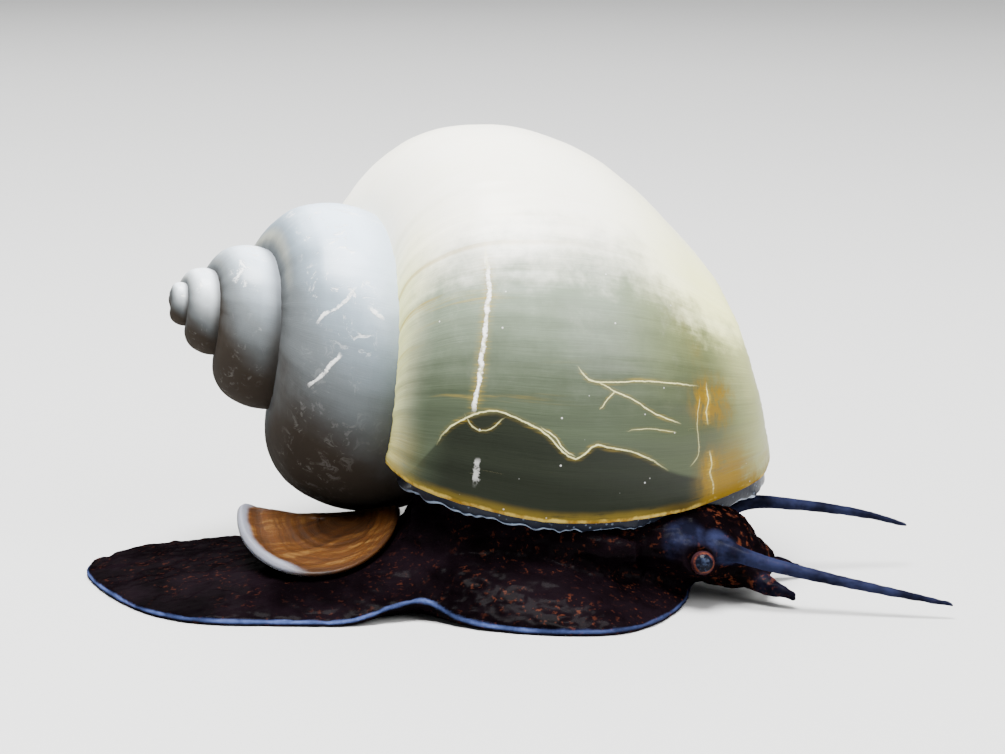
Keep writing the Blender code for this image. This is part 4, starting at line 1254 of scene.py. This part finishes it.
    def head_place(self, forward: float, left: float, up: float) -> np.ndarray:
        """A place along and across the head's line of symmetry, in mm."""
        cos, sin = math.cos(self.head_yaw), math.sin(self.head_yaw)
        return np.array([self.head_origin[0] + forward * cos - left * sin,
                         self.head_origin[1] + forward * sin + left * cos, up])

    def eye_place(self, sign: int) -> np.ndarray:
        """Centre of the right (-1) or left (1) eye, in mm."""
        return self.head_place(self.eye[0], sign * self.eye[1], self.eye[2])

    def stalk_place(self, sign: int) -> np.ndarray:
        """Root of the right (-1) or left (1) eye stalk, in mm."""
        return self.head_place(self.stalk_root[0], sign * self.stalk_root[1], self.stalk_root[2])

    def in_head(self, stations: Sequence[Station]) -> list[Station]:
        """Move stations from the head's own line to the frame."""
        return [(*self.head_place(*s[:3]), *s[3:]) for s in stations]

    def sweep(self, name: str, stations: Sequence[Sequence[float]], sides: int = 40,
              hint: Sequence[float] = (0, 0, 1), steps: int = 8) -> bpy.types.Object:
        """Make a closed form through oval stations in mm.

        Args:
            name: The object's name.
            stations: Place, half width and half height, or place and radius.
            sides: Points round a section.
            hint: The direction towards which the half height lies.
            steps: Sections between stations.

        Returns:
            The form, in metres.
        """
        table = [s if len(s) == 5 else (*s, s[3]) for s in stations]
        smooth = smooth_path(table, (len(table) - 1) * steps + 1)
        centre = smooth[:, :3]
        tangent = np.gradient(centre, axis=0)
        tangent /= np.linalg.norm(tangent, axis=1)[:, None]
        across = np.cross(tangent, np.array(hint, float))
        across /= np.linalg.norm(across, axis=1)[:, None]
        upward = np.cross(across, tangent)
        round_ = np.linspace(0, TURN, sides, endpoint=False)

        def ring(k: int, scale: float, push: float) -> np.ndarray:
            """One section, scaled and pushed along the path."""
            return (centre[k] + tangent[k] * push
                    + np.cos(round_)[:, None] * across[k] * smooth[k, 3] * scale
                    + np.sin(round_)[:, None] * upward[k] * smooth[k, 4] * scale)

        last = len(centre) - 1
        caps, poles = [], []
        for end, sign in ((0, -1), (last, 1)):
            cap = sign * min(smooth[end, 3:]) * self.cap_roundness
            caps.append([ring(end, math.cos(t), cap * math.sin(t))
                         for t in (math.pi / 2 * k / 6 for k in range(1, 6))])
            poles.append((centre[end] + tangent[end] * cap) * MM)
        rings = caps[0][::-1] + [ring(k, 1.0, 0.0) for k in range(last + 1)] + caps[1]
        return closed_form(name, [row * MM for row in rings], poles)

    def foot(self, spokes: int = 220, rings: int = 40) -> bpy.types.Object:
        """The foot with its thin wavy rim."""
        centre = np.array([*self.foot_centre, 0.0])
        rim = closed_curve(self.foot_rim, np.arange(spokes) / spokes)
        lift, flat = rim[:, 2], rim * (1, 1, 0)
        top, bottom = [], []
        around = np.linspace(0, TURN, spokes, endpoint=False)
        for k in range(1, rings + 1):
            share = (k / rings) ** 0.8
            spot = centre + (flat - centre) * share
            crest = smooth_curve(self.foot_crest, spot[:, 0])
            raised = lift * max(0.0, (share - self.lift_start) / (1 - self.lift_start)) ** 2
            rise = (1 - share ** 2.4) ** 0.9
            edge = self.foot_edge * (1 - 0.25 * share)
            wave = np.sin(around * 17 + 3 * np.sin(around * 4))
            wave = 0.10 * smooth_step(0.6, 1.0, share) * wave
            high = raised + edge + (crest - edge) * rise + np.maximum(wave, -0.1)
            top.append(np.column_stack([spot[:, :2], high]))
            bottom.append(np.column_stack([spot[:, :2], raised]))
        crest = smooth_curve(self.foot_crest, np.array([self.foot_centre[0]]))[0]
        poles = np.array([[*self.foot_centre, crest], [*self.foot_centre, 0.0]]) * MM
        return closed_form("foot_form", [row * MM for row in top + bottom[::-1]], poles)

    def forms(self) -> list[bpy.types.Object]:
        """All forms that the skin covers."""
        forms = [self.foot(), self.sweep("pad", self.pad, hint=(0, 1, 0)),
                 self.sweep("neck_form", self.neck, 64, (0, 1, 0)),
                 self.sweep("head_form", self.in_head(self.head), 56),
                 self.sweep("snout_form", self.in_head(self.snout), 48),
                 self.sweep("lobe", self.lobe, 28), self.tube()]
        for sign, feeler in zip((-1, 1), self.feelers):
            eye, root = self.eye_place(sign), self.stalk_place(sign)
            stalk = [(*(root + (eye - root) * share), radius)
                     for share, radius in self.stalk_radii]
            palp = [(*self.head_place(f, sign * out, up), radius)
                    for f, out, up, radius in self.palp]
            forms += [self.sweep("stalk", stalk, 28), self.sweep("palp", palp, 24),
                      self.sweep("feeler", feeler, 28)]
        return forms

    def tube(self) -> bpy.types.Object:
        """The siphon with its open end."""
        tube = self.sweep("siphon_form", self.siphon, 36)
        bore = self.sweep("bore", self.bore, 28)
        cut = tube.modifiers.new("cut", "BOOLEAN")
        cut.operation = "DIFFERENCE"
        cut.object = bore
        settle(tube)
        bpy.data.objects.remove(bore)
        return tube

    def remesh(self, obj: bpy.types.Object) -> None:
        """Cover a mesh with an even skin."""
        cover = obj.modifiers.new("cover", "REMESH")
        cover.mode = "VOXEL"
        cover.voxel_size = self.voxel
        settle(obj)

    def smooth(self, obj: bpy.types.Object, times: int) -> None:
        """Even out the skin."""
        relax = obj.modifiers.new("relax", "SMOOTH")
        relax.factor = 0.5
        relax.iterations = times
        settle(obj)

    def skin(self) -> bpy.types.Object:
        """Join the forms into one skin with soft folds between them."""
        forms = self.forms()
        work = bmesh.new()
        for form in forms:
            work.from_mesh(form.data)
            bpy.data.objects.remove(form)
        mesh = bpy.data.meshes.new("flesh")
        work.to_mesh(mesh)
        work.free()
        skin = bpy.data.objects.new("flesh", mesh)
        bpy.context.scene.collection.objects.link(skin)
        self.remesh(skin)
        move_points(skin, coordinates(skin) + normals(skin) * self.fillet)
        self.remesh(skin)
        move_points(skin, coordinates(skin) - normals(skin) * self.fillet)
        self.smooth(skin, 3)
        return skin

    def distance_to(self, points: np.ndarray, path: np.ndarray) -> np.ndarray:
        """Distance in mm from points to the nearest of a path's points, in mm."""
        tree = kdtree.KDTree(len(path))
        for i, place in enumerate(path):
            tree.insert(place, i)
        tree.balance()
        return np.array([tree.find(point)[2] for point in points])

    def dress(self, skin: bpy.types.Object) -> None:
        """Store where the skin turns into feeler and stalk, where the painted highlight runs along
        the foot's rim and where freckles gather on snout and crown, and add folds.
        """
        points = coordinates(skin) / MM
        rim = closed_curve(self.foot_rim, np.linspace(0, 1, 900, endpoint=False))
        off_rim = self.distance_to(points, rim + (0, 0, self.rim_highlight_height))
        # Painted highlight: a thin line just above the foot's rim, fading to a third towards the
        # front of the foot.
        hem = smooth_step(0.21, 0.06, off_rim) * (0.3 + 0.7 * smooth_step(9.0, 1.0, points[:, 0]))
        feeler = np.zeros(len(points))
        for knots in self.feelers:
            near = self.distance_to(points, smooth_path(knots, 60)[6:, :3])
            feeler = np.maximum(feeler, smooth_step(1.3, 0.8, near))
        stalk = np.zeros(len(points))
        for sign in (-1, 1):
            middle = self.eye_place(sign) * 0.3 + self.stalk_place(sign) * 0.7
            near = np.linalg.norm(points - middle - (0, 0, 0.6), axis=1)
            stalk = np.maximum(stalk, smooth_step(1.9, 1.0, near))
            tip = np.array([self.head_place(f, sign * out, up) for f, out, up, _ in self.palp[1:]])
            stalk = np.maximum(stalk, smooth_step(1.1, 0.6, self.distance_to(points, tip)) * 0.3)
        nose, crown = self.head_place(4.8, -2.0, 2.2), self.head_place(3.2, -1.0, 5.6)
        freckle = np.maximum(smooth_step(4.5, 2.0, np.linalg.norm(points - nose, axis=1)),
                             smooth_step(4.0, 1.8, np.linalg.norm(points - crown, axis=1)) * 0.9)
        store(skin, hem=hem, feeler=feeler, stalk=stalk, freckle=freckle)
        self.fold(skin, points, feeler)

    def fold(self, skin: bpy.types.Object, points: np.ndarray, feeler: np.ndarray) -> None:
        """Move the skin in fine wrinkles."""
        outward = normals(skin)
        height = np.empty(len(points))
        for i, point in enumerate(points):
            spot = Vector(point)
            wrinkle = noise.noise(Vector((spot.x * 0.9, spot.y * 0.9, spot.z * 2.2)))
            knobs = noise.noise(spot * 3.1)
            height[i] = 0.14 * wrinkle + 0.06 * knobs
        quiet = smooth_step(0.0, 0.5, points[:, 2]) * (1 - 0.85 * feeler)
        moved = points + outward * (height * quiet)[:, None]
        limit = self.lid.limit(moved)
        pressed = (moved[:, 2] > limit) & (moved[:, 2] < limit + self.pad_depth)
        moved[:, 2] = np.where(pressed, limit, moved[:, 2])
        moved[:, 2] = np.maximum(moved[:, 2], 0.0)
        for sign in (-1, 1):
            moved = self.socket(moved, sign)
        move_points(skin, moved * MM)

    def gaze(self, sign: int) -> np.ndarray:
        """The way that the right (-1) or left (1) eye looks."""
        look = np.array([0.10, sign * 0.97, 0.22])
        return look / np.linalg.norm(look)

    def socket(self, points: np.ndarray, sign: int) -> np.ndarray:
        """Press the skin back behind an eye, so that its front half stands free."""
        eye, look = self.eye_place(sign), self.gaze(sign)
        depth = (points - eye) @ look
        aside = np.linalg.norm(points - eye - depth[:, None] * look, axis=1)
        edge = self.socket_depth + self.socket_rim * smooth_step(0.85, 1.25, aside)
        inside = (aside < self.socket_reach) & (np.abs(depth) < 3.0) & (depth > edge)
        share = smooth_step(self.socket_reach, self.socket_reach - 0.35, aside)
        return points + np.where(inside, (edge - depth) * share, 0.0)[:, None] * look

    def build(self, finish: FleshFinish) -> bpy.types.Object:
        """Make the skin.

        Args:
            finish: Its colours.

        Returns:
            The finished piece.
        """
        skin = self.skin()
        self.dress(skin)
        skin.data.shade_smooth()
        covered = [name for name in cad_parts
                   if name.startswith(("foot_", "neck", "head", "snout", "eye_stalk", "labial",
                                       "tentacle", "nuchal", "siphon"))]
        return put_on(skin, finish.material(), "foot", *covered)

    def eyes(self, finish: EyeFinish) -> None:
        """Make both eyes."""
        material = finish.material()
        for side, sign in (("right", -1), ("left", 1)):
            centre = self.eye_place(sign) * MM
            work = bmesh.new()
            bmesh.ops.create_uvsphere(work, u_segments=48, v_segments=32,
                                      radius=self.eye_radius * MM)
            mesh = bpy.data.meshes.new(f"eyeball_{side}")
            work.to_mesh(mesh)
            work.free()
            mesh.shade_smooth()
            eye = bpy.data.objects.new(f"eyeball_{side}", mesh)
            bpy.context.scene.collection.objects.link(eye)
            away = coordinates(eye) / (self.eye_radius * MM)
            store(eye, pupil=np.linalg.norm(away - self.gaze(sign), axis=1))
            mesh.transform(Matrix.Translation(Vector(centre)))
            put_on(eye, material, "eye", f"eye_{side}")


@dataclass
class Studio:
    """Floor, soft lights and the camera."""

    distance: float = 0.240
    elevation: float = math.radians(11)
    aim: float = 15.25 * MM
    lens: float = 120.36
    floor_size: float = 4.0

    def floor(self) -> None:
        """A plain pale floor."""
        half = self.floor_size / 2
        square = np.array([[-half, -half, 0], [half, -half, 0], [half, half, 0], [-half, half, 0]])
        floor = mesh_object("floor", square - (0, 0, 0.01 * MM), [(0, 1, 2, 3)])
        paint = Paint("pale_floor", 0.6)
        board = paint.board
        cloud = board.noise(board.place(), 8, 2, 0.5)
        pale, paler = rgb(0.50, 0.50, 0.495), rgb(0.54, 0.54, 0.535)
        paint.feed(Base_Color=board.mix(cloud, pale, paler))
        floor.data.materials.append(paint.material)

    def light(self, name: str, place: Sequence[float], power: float, size: float) -> None:
        """A soft square light aimed at the snail."""
        data = bpy.data.lights.new(name, "AREA")
        data.energy = power
        data.size = size
        lamp = bpy.data.objects.new(name, data)
        lamp.location = place
        aim = Vector((0, 0, self.aim)) - Vector(place)
        lamp.rotation_euler = aim.to_track_quat("-Z", "Y").to_euler()
        bpy.context.scene.collection.objects.link(lamp)

    def camera(self) -> None:
        """A camera at the photograph's viewing angle."""
        data = bpy.data.cameras.new("camera")
        data.sensor_width = 36
        data.lens = self.lens
        data.clip_start = 0.01
        camera = bpy.data.objects.new("camera", data)
        camera.location = (0, -self.distance * math.cos(self.elevation),
                           self.aim + self.distance * math.sin(self.elevation))
        camera.rotation_euler = Euler((math.pi / 2 - self.elevation, 0, 0))
        bpy.context.scene.collection.objects.link(camera)
        bpy.context.scene.camera = camera

    def build(self) -> None:
        """Set up the studio."""
        self.floor()
        self.light("key", (-0.04, -0.08, 0.46), 12.0, 0.26)
        self.light("front", (0.30, -0.26, 0.30), 2.4, 0.30)
        self.light("back", (-0.10, 0.35, 0.30), 1.4, 0.35)
        world = bpy.data.worlds.new("studio")
        world.use_nodes = True
        sky = world.node_tree.nodes["Background"].inputs
        sky["Color"].default_value = rgb(0.86, 0.88, 0.90)
        sky["Strength"].default_value = 0.25
        bpy.context.scene.world = world
        self.camera()


SCARS = (
    Scar("scar_spiral", ((-40, 0.226), (-27, 0.231), (-18, 0.226), (-10, 0.224), (-5, 0.222),
                         (0, 0.219)), 0.24, False, 0.6, 0.8),
    Scar("scar_crust", ((-36, 0.228), (-27, 0.231), (-18, 0.226), (-10, 0.224), (-5, 0.222),
                        (0, 0.219)), 0.165, True, 1.0, 1.0),
    Scar("crack_long", ((10, 0.163), (5, 0.182), (1, 0.212), (-1, 0.235), (-2, 0.262), (-1, 0.307),
                        (0, 0.335), (3, 0.372), (3, 0.392), (0, 0.416), (0, 0.442), (0, 0.478),
                        (1, 0.520), (3, 0.563)), 0.12),
    Scar("crack_strand", ((-1, 0.325), (0, 0.348), (2, 0.366), (3, 0.385)), 0.09),
    Scar("crack_hook", ((1, 0.207), (3, 0.226), (2, 0.248), (-1, 0.266)), 0.09, False, 0.6),
    Scar("crack_upper", ((-14, 0.377), (-12, 0.396), (-12, 0.418), (-13, 0.460), (-14, 0.494),
                         (-15, 0.560), (-16, 0.630)), 0.10),
    Scar("crack_branch", ((-12, 0.412), (-11, 0.440), (-10, 0.480), (-8, 0.530), (-7, 0.585)),
         0.09),
    Scar("crack_twig", ((-11, 0.447), (-9, 0.432), (-7, 0.422)), 0.08, False, 0.8),
    Scar("crack_faint", ((-4, 0.475), (-5, 0.520), (-5, 0.575)), 0.07, False, 0.6),
    Scar("groove_right", ((-14, 0.632), (-10, 0.626), (-6, 0.624), (-1, 0.629), (2, 0.609)),
         0.10, False, 0.45, 0.3),
    Scar("star_mark", ((14, 0.237), (9, 0.236)), 0.22, True, 0.45, 0.0),
    Scar("worn_mark", ((-393, 0.34), (-384, 0.290), (-380, 0.258), (-378, 0.235), (-372, 0.205)),
         0.13, True, 0.7, 0.0),
    Scar("worn_low", ((-363, 0.290), (-358, 0.262), (-352, 0.235), (-346, 0.202)), 0.14, True, 0.85,
         0.0),
    Scar("seam_gold", ((-2, 0.655), (1, 0.662), (3, 0.657), (5, 0.665), (8, 0.668), (10, 0.680)),
         0.17, False, 0.9, 1.6),
    Scar("seam_upper", ((-17, 0.650), (-14, 0.655), (-11, 0.648), (-8, 0.652)), 0.15, False, 0.6,
         1.4),
    Scar("worn_side", ((-383, 0.370), (-381, 0.392), (-380, 0.415)), 0.16, True, 0.8, 0.0),
    Scar("worn_older", ((-552, 0.30), (-545, 0.24), (-538, 0.19), (-528, 0.16)), 0.26, True, 1.0,
         0.0))
STAINS = (Spot(-12, 0.640, 1.1), Spot(-13, 0.668, 1.3), Spot(-11, 0.690, 0.9, 0.8),
          Spot(-16, 0.655, 0.9, 0.9), Spot(-17, 0.700, 0.9, 0.8), Spot(1, 0.660, 0.9),
          Spot(4, 0.664, 0.9), Spot(7, 0.676, 1.1), Spot(7, 0.715, 1.2, 0.9),
          Spot(4, 0.760, 1.0, 0.5), Spot(1, 0.800, 1.2, 0.35), Spot(-24, 0.630, 0.9, 0.2),
          Spot(-30, 0.60, 1.2, 0.1))


def main() -> None:
    """Build every piece."""
    logging.basicConfig(level=logging.INFO, format="%(message)s")
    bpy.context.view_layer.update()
    Studio().build()
    Shell(scars=SCARS, stains=STAINS).build(ShellFinish())
    Mantle().build(MantleFinish())
    lid = Operculum()
    lid.build(LidFinish())
    flesh = Flesh(lid)
    flesh.build(FleshFinish())
    flesh.eyes(EyeFinish())


if __name__ == "__main__":
    main()
